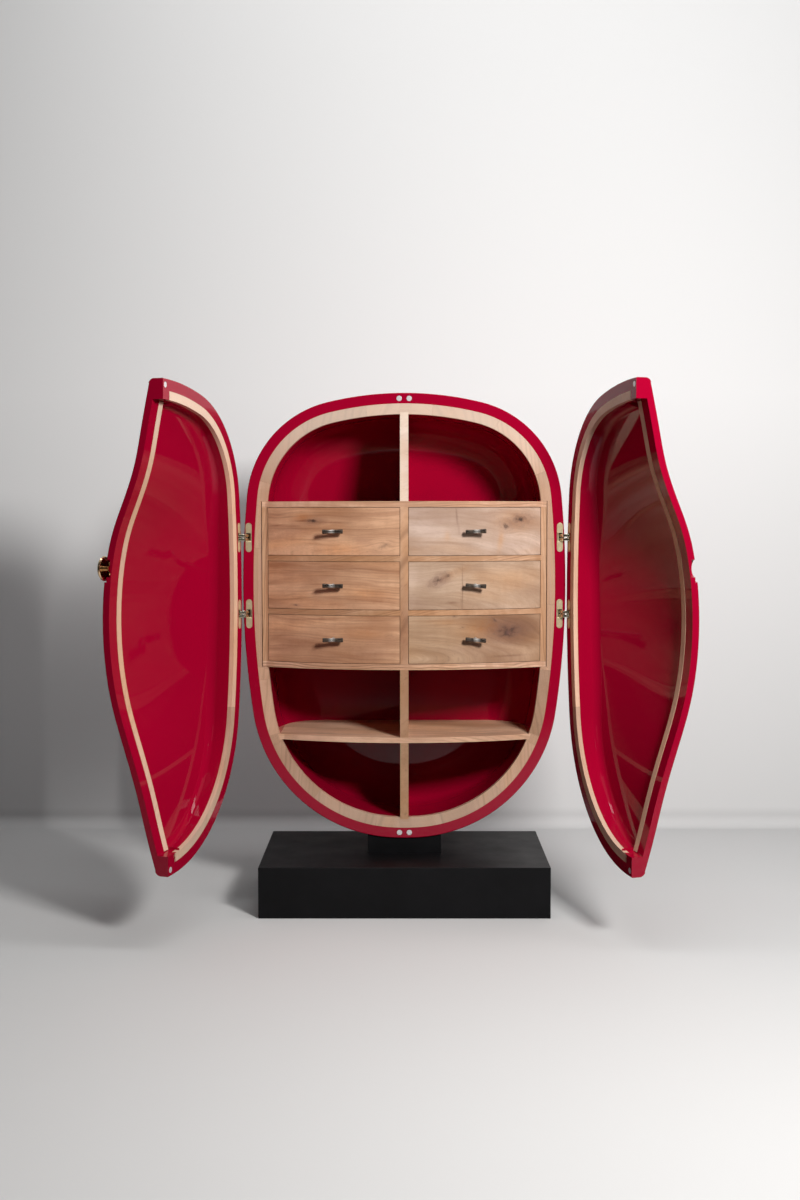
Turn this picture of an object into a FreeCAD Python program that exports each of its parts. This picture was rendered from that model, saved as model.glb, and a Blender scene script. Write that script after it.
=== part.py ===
import FreeCAD, Part
import math
import os

os.makedirs("parts", exist_ok=True)
V = FreeCAD.Vector

# A tall egg-shaped cabinet on a low plinth, with two domed doors, six bowed drawers and open bays.
# Millimetres. X runs across, the doors face -Y, Z is up from the floor; Y is zero at the rim plane.

# Rim outline: three tangent arcs above and three below the widest line
half_width = 505.0
upper_height = 606.0
lower_height = 794.0
crown_radius = 1015.0
crown_corner_offset = 162.66
crown_corner_lean = 12.34
foot_radius = 820.0
foot_corner_offset = 15.92
foot_corner_lean = 24.08

# Carcass shell and its timber ring
body_depth = 330.0
back_edge_round = 150.0
tub_edge_round = 122.0
back_wall = 28.0
back_round_shares = (0, 0.25, 0.5, 0.75, 1)
red_rim_width = 33.0
ring_width = 33.0
ring_depth = 20.0
housing_depth = 6.0

# Drawer case let into the shell, between the top bay and the bays below it
case_rise = 545.0
case_drop = 337.0
ring_cover = 15.4
case_depth = 225.0
case_bow = 97.0
bow_inset = 11.5
case_board = 18.0
partition_thickness = 25.0
rail_thickness = 17.0
back_panel = 8.0
drawer_rows = 3

# Dividers and shelf
divider_thickness = 26.0
shelf_rise = 332.0
shelf_thickness = 17.0
shelf_bow = 73.0
upper_divider_sag = 9.0
middle_divider_sag = 2.0
lower_divider_sag = 7.0

# Drawers
front_gap = 1.5
front_recess = 1.0
front_thickness = 20.0
tray_side_gap = 3.0
tray_lift = 0.4
tray_drop = 37.3
tray_wall = 11.0
tray_floor = 7.0
tray_back_gap = 6.0

# Drawer pulls
bar_length = 63.0
bar_radius = 7.0
bar_standoff = 27.0
stem_radius = 4.5

# Doors
door_gap = 1.5
meeting_gap = 2.0
belly_depth = 200.0
edge_depth = 46.0
door_edge_bevel = 9.0
flange_thickness = 22.0
skin_thickness = 8.0
door_ring_width = 25.0
door_ring_depth = 14.0
corner_block_width = 35.0
meeting_band_width = 40.0
strip_width = 25.0
strip_thickness = 12.0

# Bell profile of the meeting edge: height share of the body, depth share of the belly
bell_shares = (
    (-0.02, 0.150),
    (0.00, 0.190),
    (0.07, 0.330),
    (0.16, 0.490),
    (0.25, 0.680),
    (0.34, 0.870),
    (0.43, 0.978),
    (0.54, 1.000),
    (0.63, 0.935),
    (0.70, 0.815),
    (0.76, 0.645),
    (0.83, 0.468),
    (0.90, 0.360),
    (1.00, 0.210),
    (1.02, 0.180),
)
bell_section_shares = (-0.06, 0.0, 0.3, 0.55, 0.8, 1.04)

# Door opening angles that the cabinet is shown at
left_open_degrees = 108.4
right_open_degrees = 105.2

# Concealed arc-link hinges
hinge_overhang = 1.5
hinge_rises = (-82.0, 157.0)
leaf_edge_cover = 2.2
leaf_width = 19.0
leaf_height = 91.0
leaf_thickness = 4.0
leaf_body_height = 52.0
leaf_body_margin = 1.0
slot_floor = 2.5
link_height = 26.0
link_groove_height = 6.0
link_groove_depth = 3.5
slot_inner_wall = 6.0
slot_outer_wall = 5.0
link_sweep_degrees = 59.0
link_turn_share = 0.5
slot_sweep_degrees = 61.0
link_clearance = 0.3

# Magnets let into the rim and the doors' corner blocks
magnet_radius = 8.5
magnet_thickness = 5.0
magnet_side = 15.5
magnet_inset = 17.5

# Round knob on the left door
knob_rise = 76.0
knob_radius = 35.5
knob_thickness = 8.0
knob_rim = 5.0
knob_dish = 3.0
knob_bevel = 2.0
knob_proud = 1.0
knob_clearance = 4.0
knob_seat_depth = 3.0
knob_notch_radius = 25.0
knob_notch_depth = 15.0
knob_stem_radius = 8.0
knob_foot_clearance = 7.0
knob_foot_thickness = 4.0

# Steel plinth and neck
plinth_half_width = 446.0
plinth_height = 157.0
plinth_front = 175.0
plinth_back = 322.0
plinth_wall = 4.0
plinth_fold_bevel = 1.5
plinth_floor_thickness = 3.0
neck_half_width = 116.0
neck_setback = 8.0
neck_depth = 150.0
neck_wall = 5.0
neck_rise = 51.0
neck_reach = 40.0

# Overrun of every cutting tool
over = 10.0

# Sizes worked out from the ones above
rim_lift = plinth_height + neck_rise
body_height = lower_height + upper_height
rim_top = rim_lift + body_height
widest_z = rim_lift + lower_height
tub_inset = red_rim_width + ring_width
housing_inset = tub_inset - housing_depth
door_hollow_inset = red_rim_width + door_ring_width
axis_x = half_width + hinge_overhang
axis_y = -door_gap / 2
meeting_x = meeting_gap / 2


def save(name, shape):
    shape.exportStep("parts/" + name + ".step")


def mirrored(shape):
    return shape.mirror(V(0, 0, 0), V(1, 0, 0))


def block(x0, x1, y0, y1, z0, z1):
    return Part.makeBox(x1 - x0, y1 - y0, z1 - z0, V(x0, y0, z0))


def rod(radius, length, base, direction):
    return Part.makeCylinder(radius, length, base, direction)


# One quarter of the outline: the side arc, the corner arc and the end arc, each tangent to the next.
# The corner arc's centre stands off the middle, and its outermost point leans in from the widest line.
def quarter_arcs(inset, reach, end_radius, corner_offset, corner_lean):
    run = half_width - corner_offset
    corner_radius = run - corner_lean
    end_z = reach - end_radius
    corner_z = end_z + math.sqrt((end_radius - corner_radius) ** 2 - corner_offset ** 2)
    side_radius = (run ** 2 + corner_z ** 2 - corner_radius ** 2) / (2 * corner_lean)
    side_x = half_width - side_radius
    side_angle = math.atan2(corner_z, corner_offset - side_x)
    end_angle = math.atan2(corner_z - end_z, corner_offset)
    return (
        ((side_x, 0), side_radius - inset, 0, side_angle),
        ((corner_offset, corner_z), corner_radius - inset, side_angle, end_angle),
        ((0, end_z), end_radius - inset, end_angle, math.pi / 2),
    )


# The arcs as edges in the plane at y, mirrored for the other side and the lower half
def arc_edges(arcs, x_sign, z_sign, y):
    edges = []
    for centre, radius, start, stop in arcs:
        points = []
        for angle in (start, (start + stop) / 2, stop):
            x = x_sign * (centre[0] + radius * math.cos(angle))
            z = widest_z + z_sign * (centre[1] + radius * math.sin(angle))
            points.append(V(x, y, z))
        edges.append(Part.Arc(*points).toShape())
    return edges


def upper_arcs(inset):
    return quarter_arcs(inset, upper_height, crown_radius, crown_corner_offset, crown_corner_lean)


def lower_arcs(inset):
    return quarter_arcs(inset, lower_height, foot_radius, foot_corner_offset, foot_corner_lean)


def rim_face(inset, y):
    edges = []
    for x_sign in (1, -1):
        edges += arc_edges(upper_arcs(inset), x_sign, 1, y)
        edges += arc_edges(lower_arcs(inset), x_sign, -1, y)
    return Part.Face(Part.Wire(Part.__sortEdges__(edges)))


# Half width of the outline at a height above its widest line
def half_width_at(rise):
    for centre, radius, start, stop in upper_arcs(0):
        angle = math.asin(min(max((rise - centre[1]) / radius, -1), 1))
        if start <= angle <= stop:
            return centre[0] + radius * math.cos(angle)
    return half_width


def rim_prism(inset, y0, y1):
    return rim_face(inset, y0).extrude(V(0, y1 - y0, 0))


# Sizes of the drawer case, shelf, hinges and knob that follow the outline
case_bottom = rim_lift + case_rise
case_top = rim_top - case_drop
case_half_width = half_width_at(case_top - widest_z) - red_rim_width - ring_cover
bow_half_width = case_half_width - bow_inset
bow_radius = (bow_half_width ** 2 + case_bow ** 2) / (2 * case_bow)
bow_centre_y = bow_radius - case_bow
case_inner_x = case_half_width - case_board
case_inner_bottom = case_bottom + case_board
case_inner_top = case_top - case_board
row_pitch = (case_inner_top - case_inner_bottom + rail_thickness) / drawer_rows
row_height = row_pitch - rail_thickness
shelf_top = rim_lift + shelf_rise
shelf_bottom = shelf_top - shelf_thickness
hinge_heights = [widest_z + rise for rise in hinge_rises]
leaf_drop = half_width - half_width_at(max(hinge_rises) + leaf_height / 2)
leaf_inset = hinge_overhang + leaf_drop + leaf_edge_cover
link_inner_radius = leaf_inset + slot_inner_wall
link_outer_radius = leaf_inset + leaf_width - slot_outer_wall
knob_height = widest_z + knob_rise
knob_seat_radius = knob_radius + knob_clearance
knob_foot_radius = knob_notch_radius - knob_foot_clearance


# Rim prism closed by a flat back with a large round, for the body's outside and its hollow
def body_form(inset, depth, edge_round, front_y):
    form = rim_prism(inset, front_y, depth - edge_round)
    wires = []
    for share in back_round_shares:
        angle = math.pi / 2 * share
        step_in = edge_round * (1 - math.cos(angle))
        wires.append(rim_face(inset + step_in, depth - edge_round * (1 - math.sin(angle))).OuterWire)
    return form.fuse(Part.makeLoft(wires, True, True)).removeSplitter()


def shell_outer():
    return body_form(0, body_depth, back_edge_round, 0)


def tub_tool(inset, front_y):
    return body_form(inset, body_depth - back_wall, tub_edge_round, front_y)


def case_envelope():
    return block(-case_half_width, case_half_width, -case_bow - over, case_depth, case_bottom, case_top)


# Vertical drum whose front gives the case, shelf and drawers their bow
def bow_drum(shrink, z0, z1, forward):
    base = V(0, bow_centre_y - forward, z0)
    return Part.makeCylinder(bow_radius - shrink, z1 - z0, base)


# Board whose front is bowed where it stands ahead of the rim plane and flush with it beyond
def bowed_board(x0, x1, z0, z1, back_y):
    bowed = block(x0, x1, -case_bow - over, back_y, z0, z1).common(bow_drum(0, z0, z1, 0))
    return bowed.fuse(block(x0, x1, 0, back_y, z0, z1)).removeSplitter()


# Shelf and dividers, housed in the ring and the tub
def shelf_board():
    ahead = block(-half_width, half_width, -shelf_bow - over, 0, shelf_bottom, shelf_top)
    bowed = ahead.common(bow_drum(0, shelf_bottom, shelf_top, shelf_bow - case_bow))
    flush = block(-half_width, half_width, 0, body_depth, shelf_bottom, shelf_top)
    return bowed.fuse(flush).removeSplitter().common(tub_tool(housing_inset, -case_bow - over))


# Upright board from the tub's back to a front edge that sags between its two ends
def divider(z_high, y_high, z_low, y_low, sag):
    x = -divider_thickness / 2
    high_front = V(x, y_high, z_high)
    low_front = V(x, y_low, z_low)
    high_back = V(x, body_depth, z_high)
    low_back = V(x, body_depth, z_low)
    middle = (low_front + high_front) / 2 + V(0, sag, 0)
    edges = [
        Part.LineSegment(high_front, high_back).toShape(),
        Part.LineSegment(high_back, low_back).toShape(),
        Part.LineSegment(low_back, low_front).toShape(),
        Part.Arc(low_front, middle, high_front).toShape(),
    ]
    slab = Part.Face(Part.Wire(edges)).extrude(V(divider_thickness, 0, 0))
    return slab.common(tub_tool(housing_inset, -case_bow - over))


def upper_divider():
    return divider(rim_top - housing_inset, 0, case_top, -case_bow, upper_divider_sag)


def middle_divider():
    return divider(case_bottom, -case_bow, shelf_top, -shelf_bow, middle_divider_sag)


def lower_divider():
    return divider(shelf_bottom, -shelf_bow, rim_lift + housing_inset, 0, lower_divider_sag)


def housed_parts():
    return [shelf_board(), upper_divider(), middle_divider(), lower_divider()]


# Magnets
def magnet_at(x, z, y, toward):
    return rod(magnet_radius, magnet_thickness, V(x, y, z), V(0, toward, 0))


def rim_magnets():
    found = []
    for x in (-magnet_side, magnet_side):
        for z in (rim_lift + magnet_inset, rim_top - magnet_inset):
            found.append(magnet_at(x, z, 0, 1))
    return found


def door_magnets():
    found = []
    for z in (rim_lift + magnet_inset, rim_top - magnet_inset):
        found.append(magnet_at(-magnet_side, z, -door_gap, -1))
    return found


# Hinge leaf on the left side in the carcass; the door's leaf is its mirror in the closed gap
def leaf_centre_x():
    return -axis_x + leaf_inset + leaf_width / 2


def leaf_plate(z):
    x = leaf_centre_x()
    straight = leaf_height - leaf_width
    bar = block(x - leaf_width / 2, x + leaf_width / 2, 0, leaf_thickness, z - straight / 2, z + straight / 2)
    for end in (z - straight / 2, z + straight / 2):
        bar = bar.fuse(rod(leaf_width / 2, leaf_thickness, V(x, 0, end), V(0, 1, 0)))
    return bar.removeSplitter()


def leaf_body(z):
    x = leaf_centre_x()
    half = leaf_width / 2 - leaf_body_margin
    depth = link_outer_radius + slot_floor
    low = z - leaf_body_height / 2
    high = z + leaf_body_height / 2
    return block(x - half, x + half, leaf_thickness, depth, low, high)


# Part of a ring about the left hinge axis, between two angles
def arc_band(inner, outer, z0, z1, start_degrees, stop_degrees):
    ring = []
    for radius in (inner, outer):
        points = []
        for share in (0, 0.5, 1):
            angle = math.radians(start_degrees + share * (stop_degrees - start_degrees))
            points.append(V(-axis_x + radius * math.cos(angle), axis_y + radius * math.sin(angle), z0))
        ring.append(points)
    edges = [Part.Arc(*ring[0]).toShape(), Part.Arc(*ring[1]).toShape()]
    for index in (0, 2):
        edges.append(Part.LineSegment(ring[0][index], ring[1][index]).toShape())
    face = Part.Face(Part.Wire(Part.__sortEdges__(edges)))
    return face.extrude(V(0, 0, z1 - z0))


def leaf_slot(z):
    half = link_height / 2 + link_clearance
    inner = link_inner_radius - link_clearance
    outer = link_outer_radius + link_clearance
    return arc_band(inner, outer, z - half, z + half, -slot_sweep_degrees, slot_sweep_degrees)


def carcass_leaf(z):
    return leaf_plate(z).fuse(leaf_body(z)).removeSplitter().cut(leaf_slot(z))


def carcass_leaf_pocket(z):
    return leaf_plate(z).fuse(leaf_body(z)).fuse(leaf_slot(z).common(rim_side_block()))


def rim_side_block():
    return block(-half_width - over, 0, 0, body_depth, rim_lift, rim_top)


def to_door(shape):
    flipped = shape.mirror(V(0, 0, 0), V(0, 1, 0))
    flipped.translate(V(0, -door_gap, 0))
    return flipped


# Arched link with a groove along its outer side, so that it shows as two bars when the door is open
def arc_link(z):
    half = link_height / 2
    link = arc_band(link_inner_radius, link_outer_radius, z - half, z + half,
                    -link_sweep_degrees, link_sweep_degrees)
    half = link_groove_height / 2
    groove = arc_band(link_outer_radius - link_groove_depth, link_outer_radius + over, z - half, z + half,
                      -slot_sweep_degrees, slot_sweep_degrees)
    return link.cut(groove)


# Bell-shaped dome of the left door, as a loft of equal splines; lift thins it towards the rim
def bell_curve(x, lift):
    spread = 1 - (x / half_width) ** 2
    points = []
    shares = []
    for height_share, depth_share in bell_shares:
        depth = edge_depth + (belly_depth * depth_share - edge_depth) * spread - lift
        points.append(V(x, -depth - door_gap, rim_lift + body_height * height_share))
        shares.append(height_share)
    curve = Part.BSplineCurve()
    curve.interpolate(Points=points, Parameters=shares)
    return curve


def bell_wire(x, lift):
    curve = bell_curve(x, lift)
    bottom = curve.StartPoint
    top = curve.EndPoint
    low = V(x, over, bottom.z)
    high = V(x, over, top.z)
    edges = [
        curve.toShape(),
        Part.LineSegment(top, high).toShape(),
        Part.LineSegment(high, low).toShape(),
        Part.LineSegment(low, bottom).toShape(),
    ]
    return Part.Wire(edges)


def bell_form(lift):
    wires = [bell_wire(-half_width * share, lift) for share in bell_section_shares]
    return Part.makeLoft(wires, True, False)


def meeting_side(x_limit):
    return block(-half_width - over, x_limit, -belly_depth - over, 2 * over, rim_lift - over, rim_top + over)


# Solid door with its domed face bevelled all along the outline
def door_blank():
    prism = rim_prism(0, -door_gap, -belly_depth - 2 * over)
    blank = prism.common(meeting_side(-meeting_x)).common(bell_form(0))
    domed = [face for face in blank.Faces if isinstance(face.Surface, Part.BSplineSurface)]
    seam = [edge for face in domed for edge in face.Edges if edge.BoundBox.XMin < -meeting_x - over]
    return blank.makeChamfer(door_edge_bevel, seam)


def door_hollow():
    tool = rim_prism(door_hollow_inset, over, -belly_depth - 2 * over)
    deep = tool.common(meeting_side(-meeting_x - meeting_band_width - strip_width))
    return deep.common(bell_form(skin_thickness))


def door_opening():
    tool = rim_prism(door_hollow_inset, over, -belly_depth - 2 * over)
    return tool.common(meeting_side(over)).common(bell_form(flange_thickness))


def door_ring():
    outer = rim_prism(red_rim_width, -door_gap, -door_gap - door_ring_depth)
    inner = rim_prism(door_hollow_inset, over, -door_gap - door_ring_depth - over)
    return outer.cut(inner).common(meeting_side(-meeting_x - corner_block_width))


def door_strip():
    start = -meeting_x - meeting_band_width - strip_width
    stop = -meeting_x - meeting_band_width
    tool = rim_prism(door_hollow_inset, over, -belly_depth - 2 * over)
    band = tool.common(block(start, stop, -belly_depth - over, over, rim_lift, rim_top))
    return band.common(bell_form(flange_thickness - strip_thickness)).cut(bell_form(flange_thickness))


# Depth of the door's face at the knob, and the knob's own pieces
def knob_face_y():
    return bell_curve(0, 0).value((knob_height - rim_lift) / body_height).y


def knob_seat():
    tools = []
    for radius, depth in ((knob_seat_radius, knob_seat_depth), (knob_notch_radius, knob_notch_depth)):
        base = V(0, knob_face_y() + depth, knob_height)
        tools.append(rod(radius, depth + belly_depth, base, V(0, -1, 0)))
    return tools[0].fuse(tools[1])


def knob_disc():
    back = knob_face_y() + knob_seat_depth - knob_proud
    front = back - knob_thickness
    outline = [
        V(0, back - knob_dish, knob_height),
        V(knob_radius - knob_rim, back - knob_dish, knob_height),
        V(knob_radius - knob_rim, back, knob_height),
        V(knob_radius, back, knob_height),
        V(knob_radius, front + knob_bevel, knob_height),
        V(knob_radius - knob_bevel, front, knob_height),
        V(0, front, knob_height),
        V(0, back - knob_dish, knob_height),
    ]
    face = Part.Face(Part.makePolygon(outline))
    return face.revolve(V(0, 0, knob_height), V(0, 1, 0), 360)


def knob_stem():
    start = knob_face_y() + knob_seat_depth - knob_proud - knob_dish
    floor_y = knob_face_y() + knob_notch_depth
    stem = rod(knob_stem_radius, floor_y - start, V(0, start, knob_height), V(0, 1, 0))
    foot_base = V(0, floor_y - knob_foot_thickness, knob_height)
    foot = rod(knob_foot_radius, knob_foot_thickness, foot_base, V(0, 1, 0))
    return stem.fuse(foot.common(meeting_side(-meeting_x))).removeSplitter()


def door_shell():
    shell = door_blank()
    for tool in (door_hollow(), door_opening(), door_ring(), door_strip(), knob_seat()):
        shell = shell.cut(tool)
    for tool in door_magnets():
        shell = shell.cut(tool)
    for z in hinge_heights:
        shell = shell.cut(to_door(carcass_leaf_pocket(z)))
    return shell


# Carcass pieces
def carcass_shell(housed):
    shell = shell_outer().cut(tub_tool(tub_inset, -over)).cut(ring_blank()).cut(case_envelope())
    for tool in housed + rim_magnets():
        shell = shell.cut(tool)
    for z in hinge_heights:
        pocket = carcass_leaf_pocket(z)
        shell = shell.cut(pocket).cut(mirrored(pocket))
    return shell


def ring_blank():
    return rim_prism(red_rim_width, 0, ring_depth).cut(rim_prism(tub_inset, -over, ring_depth + over))


def timber_ring(housed):
    ring = ring_blank().cut(case_envelope())
    for tool in housed:
        ring = ring.cut(tool)
    return ring


def case_pieces():
    pieces = {}
    for name, z0, z1 in (("top", case_inner_top, case_top), ("bottom", case_bottom, case_inner_bottom)):
        pieces["case_" + name] = bowed_board(-case_half_width, case_half_width, z0, z1, case_depth)
    side = bowed_board(-case_half_width, -case_inner_x, case_inner_bottom, case_inner_top, case_depth)
    pieces["case_side_left"] = side
    pieces["case_side_right"] = mirrored(side)
    half = partition_thickness / 2
    back_y = case_depth - back_panel
    pieces["case_partition"] = bowed_board(-half, half, case_inner_bottom, case_inner_top, back_y)
    pieces["case_back"] = block(-case_inner_x, case_inner_x, back_y, case_depth,
                                case_inner_bottom, case_inner_top)
    for row in range(1, drawer_rows):
        z = case_inner_bottom + row * row_pitch - rail_thickness
        rail = bowed_board(-case_inner_x, -half, z, z + rail_thickness, back_y)
        pieces["case_rail_%d_left" % row] = rail
        pieces["case_rail_%d_right" % row] = mirrored(rail)
    return pieces


# One drawer of the left column, lowest row first
def drawer_front(row):
    z0 = case_inner_bottom + row * row_pitch + front_gap
    z1 = z0 + row_height - 2 * front_gap
    x0 = -case_inner_x + front_gap
    x1 = -partition_thickness / 2 - front_gap
    slab = block(x0, x1, -case_bow, case_depth, z0, z1).common(bow_drum(front_recess, z0, z1, 0))
    return slab.cut(bow_drum(front_recess + front_thickness, z0, z1, 0))


def drawer_tray(row):
    z0 = case_inner_bottom + row * row_pitch + tray_lift
    z1 = z0 + row_height - tray_drop
    x0 = -case_inner_x + tray_side_gap
    x1 = -partition_thickness / 2 - tray_side_gap
    back = case_depth - back_panel - tray_back_gap
    outer = block(x0, x1, -case_bow, back, z0, z1)
    inner = block(x0 + tray_wall, x1 - tray_wall, -case_bow - over, back - tray_wall,
                  z0 + tray_floor, z1 + over)
    return outer.cut(inner).common(bow_drum(front_recess + front_thickness, z0 - over, z1 + over, 0))


def drawer_pull(row):
    x = -(case_inner_x + partition_thickness / 2) / 2
    z = case_inner_bottom + row * row_pitch + row_height / 2
    reach = bow_radius - front_recess
    slope = math.asin(x / reach)
    out = V(math.sin(slope), -math.cos(slope), 0)
    along = V(math.cos(slope), math.sin(slope), 0)
    root = V(0, bow_centre_y, z) + out * reach
    bar_centre = root + out * bar_standoff
    bar = rod(bar_radius, bar_length, bar_centre - along * (bar_length / 2), along)
    return bar.fuse(rod(stem_radius, bar_standoff, root, out))


# Steel plinth, a folded case open below, and the neck tube under the body
def plinth_case():
    outer = block(-plinth_half_width, plinth_half_width, -plinth_front, plinth_back, 0, plinth_height)
    folds = [e for e in outer.Edges if e.BoundBox.ZMax > plinth_wall]
    outer = outer.makeChamfer(plinth_fold_bevel, folds)
    inner = block(-plinth_half_width + plinth_wall, plinth_half_width - plinth_wall,
                  -plinth_front + plinth_wall, plinth_back - plinth_wall, -over, plinth_height - plinth_wall)
    return outer.cut(inner)


def plinth_floor():
    return block(-plinth_half_width + plinth_wall, plinth_half_width - plinth_wall,
                 -plinth_front + plinth_wall, plinth_back - plinth_wall, 0, plinth_floor_thickness)


def neck_tube():
    back = neck_setback + neck_depth
    top = rim_lift + neck_reach
    outer = block(-neck_half_width, neck_half_width, neck_setback, back, plinth_height, top)
    inner = block(-neck_half_width + neck_wall, neck_half_width - neck_wall,
                  neck_setback + neck_wall, back - neck_wall, plinth_height - over, top + over)
    return outer.cut(inner).cut(shell_outer())


# The doors rest open; side is -1 for the left one, and share is 1 for the whole opening angle
def opened(shape, side, share):
    turned = shape.copy()
    degrees = -left_open_degrees if side < 0 else right_open_degrees
    turned.rotate(V(side * axis_x, axis_y, 0), V(0, 0, 1), degrees * share)
    return turned


def build_carcass():
    housed = housed_parts()
    save("shell", carcass_shell(housed))
    save("timber_ring", timber_ring(housed))
    for name, shape in zip(("shelf", "divider_upper", "divider_middle", "divider_lower"), housed):
        save(name, shape)
    for name, shape in case_pieces().items():
        save(name, shape)
    save("rim_magnets", Part.makeCompound(rim_magnets()))
    leaves = Part.makeCompound([carcass_leaf(z) for z in hinge_heights])
    save("carcass_leaves_left", leaves)
    save("carcass_leaves_right", mirrored(leaves))


def build_drawers():
    for row in range(drawer_rows):
        front = drawer_front(row)
        tray = drawer_tray(row)
        pull = drawer_pull(row)
        for side, flip in (("left", False), ("right", True)):
            name = "drawer_%s_%d_" % (side, row + 1)
            for piece, shape in (("front", front), ("tray", tray), ("pull", pull)):
                save(name + piece, mirrored(shape) if flip else shape)


def build_doors():
    shell = door_shell()
    pieces = {
        "shell": shell,
        "ring": door_ring(),
        "strip": door_strip(),
        "magnets": Part.makeCompound(door_magnets()),
        "leaves": Part.makeCompound([to_door(carcass_leaf(z)) for z in hinge_heights]),
    }
    for name, shape in pieces.items():
        save("door_left_" + name, opened(shape, -1, 1))
        save("door_right_" + name, opened(mirrored(shape), 1, 1))
    save("knob_disc", opened(knob_disc(), -1, 1))
    save("knob_stem", opened(knob_stem(), -1, 1))
    links = Part.makeCompound([arc_link(z) for z in hinge_heights])
    save("hinge_links_left", opened(links, -1, link_turn_share))
    save("hinge_links_right", opened(mirrored(links), 1, link_turn_share))


def build_base():
    save("plinth_case", plinth_case())
    save("plinth_floor", plinth_floor())
    save("neck", neck_tube())


build_carcass()
build_drawers()
build_doors()
build_base()
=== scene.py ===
import bpy
import bmesh
from math import acos, asin, atan2, cos, pi, radians, sin, sqrt
from mathutils import Matrix, Vector


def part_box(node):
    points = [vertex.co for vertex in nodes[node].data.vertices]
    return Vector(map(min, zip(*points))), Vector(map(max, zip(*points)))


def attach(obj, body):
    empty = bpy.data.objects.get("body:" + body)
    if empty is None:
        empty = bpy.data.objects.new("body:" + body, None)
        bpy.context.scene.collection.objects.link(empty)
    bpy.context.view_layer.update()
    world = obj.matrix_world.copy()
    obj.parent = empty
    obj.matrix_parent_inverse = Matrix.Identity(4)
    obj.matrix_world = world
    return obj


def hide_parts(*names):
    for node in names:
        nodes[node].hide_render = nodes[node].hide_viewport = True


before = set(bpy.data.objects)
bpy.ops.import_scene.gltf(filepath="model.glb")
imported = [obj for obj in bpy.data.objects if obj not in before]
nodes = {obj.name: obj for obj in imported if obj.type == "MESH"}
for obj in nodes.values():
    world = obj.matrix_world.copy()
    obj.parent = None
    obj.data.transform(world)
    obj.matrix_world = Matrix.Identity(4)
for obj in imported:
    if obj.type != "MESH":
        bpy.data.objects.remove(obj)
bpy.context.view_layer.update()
scene = bpy.context.scene
print("frame loaded")

# Metres. The cabinet's doors face -Y, Z is up, and the rim plane is at y = 0.
cabinet = {
    "halfWidth": 0.505,
    "rimLift": 0.208,
    "upper": {"reach": 0.606, "end": 1.015, "offset": 0.16266, "lean": 0.01234},
    "lower": {"reach": 0.794, "end": 0.820, "offset": 0.01592, "lean": 0.02408},
    "redRim": 0.033,
    "ring": 0.033,
    "ringDepth": 0.020,
    "caseHalf": 0.44452,
    "caseLow": 0.753,
    "caseHigh": 1.271,
    "caseBack": 0.225,
    "hingeHeights": (0.920, 1.159),
}
rimTop = cabinet["rimLift"] + cabinet["upper"]["reach"] + cabinet["lower"]["reach"]
widestZ = cabinet["rimLift"] + cabinet["lower"]["reach"]


# outline of the cabinet, as tangent arcs
def quarterArcs(quarter):
    run = cabinet["halfWidth"] - quarter["offset"]
    corner = run - quarter["lean"]
    endZ = quarter["reach"] - quarter["end"]
    cornerZ = endZ + sqrt((quarter["end"] - corner) ** 2 - quarter["offset"] ** 2)
    side = (run ** 2 + cornerZ ** 2 - corner ** 2) / (2 * quarter["lean"])
    sideX = cabinet["halfWidth"] - side
    sideAngle = atan2(cornerZ, quarter["offset"] - sideX)
    endAngle = atan2(cornerZ - endZ, quarter["offset"])
    return (
        (sideX, 0.0, side, 0.0, sideAngle),
        (quarter["offset"], cornerZ, corner, sideAngle, endAngle),
        (0.0, endZ, quarter["end"], endAngle, pi / 2),
    )


arcsOf = {1: quarterArcs(cabinet["upper"]), -1: quarterArcs(cabinet["lower"])}


# points of the left half from the bottom centre to the top centre: x, z and the outward normal
def halfOutline(step):
    found = []
    for up in (-1, 1):
        for cx, cz, radius, start, stop in arcsOf[up][::up]:
            first, last = (start, stop)[::up]
            count = max(3, int(abs(last - first) * radius / step))
            for index in range(count):
                angle = first + (last - first) * index / count
                out, rise = cos(angle), sin(angle)
                found.append((-(cx + radius * out), widestZ + up * (cz + radius * rise), -out, up * rise))
    found.append((0.0, rimTop, 0.0, 1.0))
    return found


def insetPoint(p, inset):
    return p[0] - inset * p[2], p[1] - inset * p[3]


# both halves at one inset and depth; a closed line comes back to its first point
def wholeOutline(half, inset, y, closed=False):
    whole = half + [(-x, z, -nx, nz) for x, z, nx, nz in reversed(half[0 if closed else 1:-1])]
    return [(x, y, z) for x, z in (insetPoint(p, inset) for p in whole)]


# height of the inset outline at x, above or below the widest line
def outlineZ(inset, x, up):
    for cx, cz, radius, start, stop in reversed(arcsOf[up]):
        r = radius - inset
        share = (abs(x) - cx) / r
        if -1 <= share <= 1 and start <= acos(share) <= stop:
            return widestZ + up * (cz + r * sin(acos(share)))
    return widestZ


# small helpers

# how near two points have to be to become one
merge = 1e-6


def newObject(name, mesh):
    obj = bpy.data.objects.new(name, mesh)
    scene.collection.objects.link(obj)
    return obj


def solidMesh(name, points, faces):
    mesh = bpy.data.meshes.new(name)
    mesh.from_pydata(points, [], faces)
    bm = bmesh.new()
    bm.from_mesh(mesh)
    bmesh.ops.remove_doubles(bm, verts=bm.verts, dist=merge)
    bmesh.ops.dissolve_degenerate(bm, edges=bm.edges, dist=merge / 10)
    bmesh.ops.recalc_face_normals(bm, faces=bm.faces)
    bm.to_mesh(mesh)
    bm.free()
    return mesh


def plainCopy(obj):
    graph = bpy.context.evaluated_depsgraph_get()
    mesh = bpy.data.meshes.new_from_object(obj.evaluated_get(graph))
    obj.modifiers.clear()
    return mesh


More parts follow.
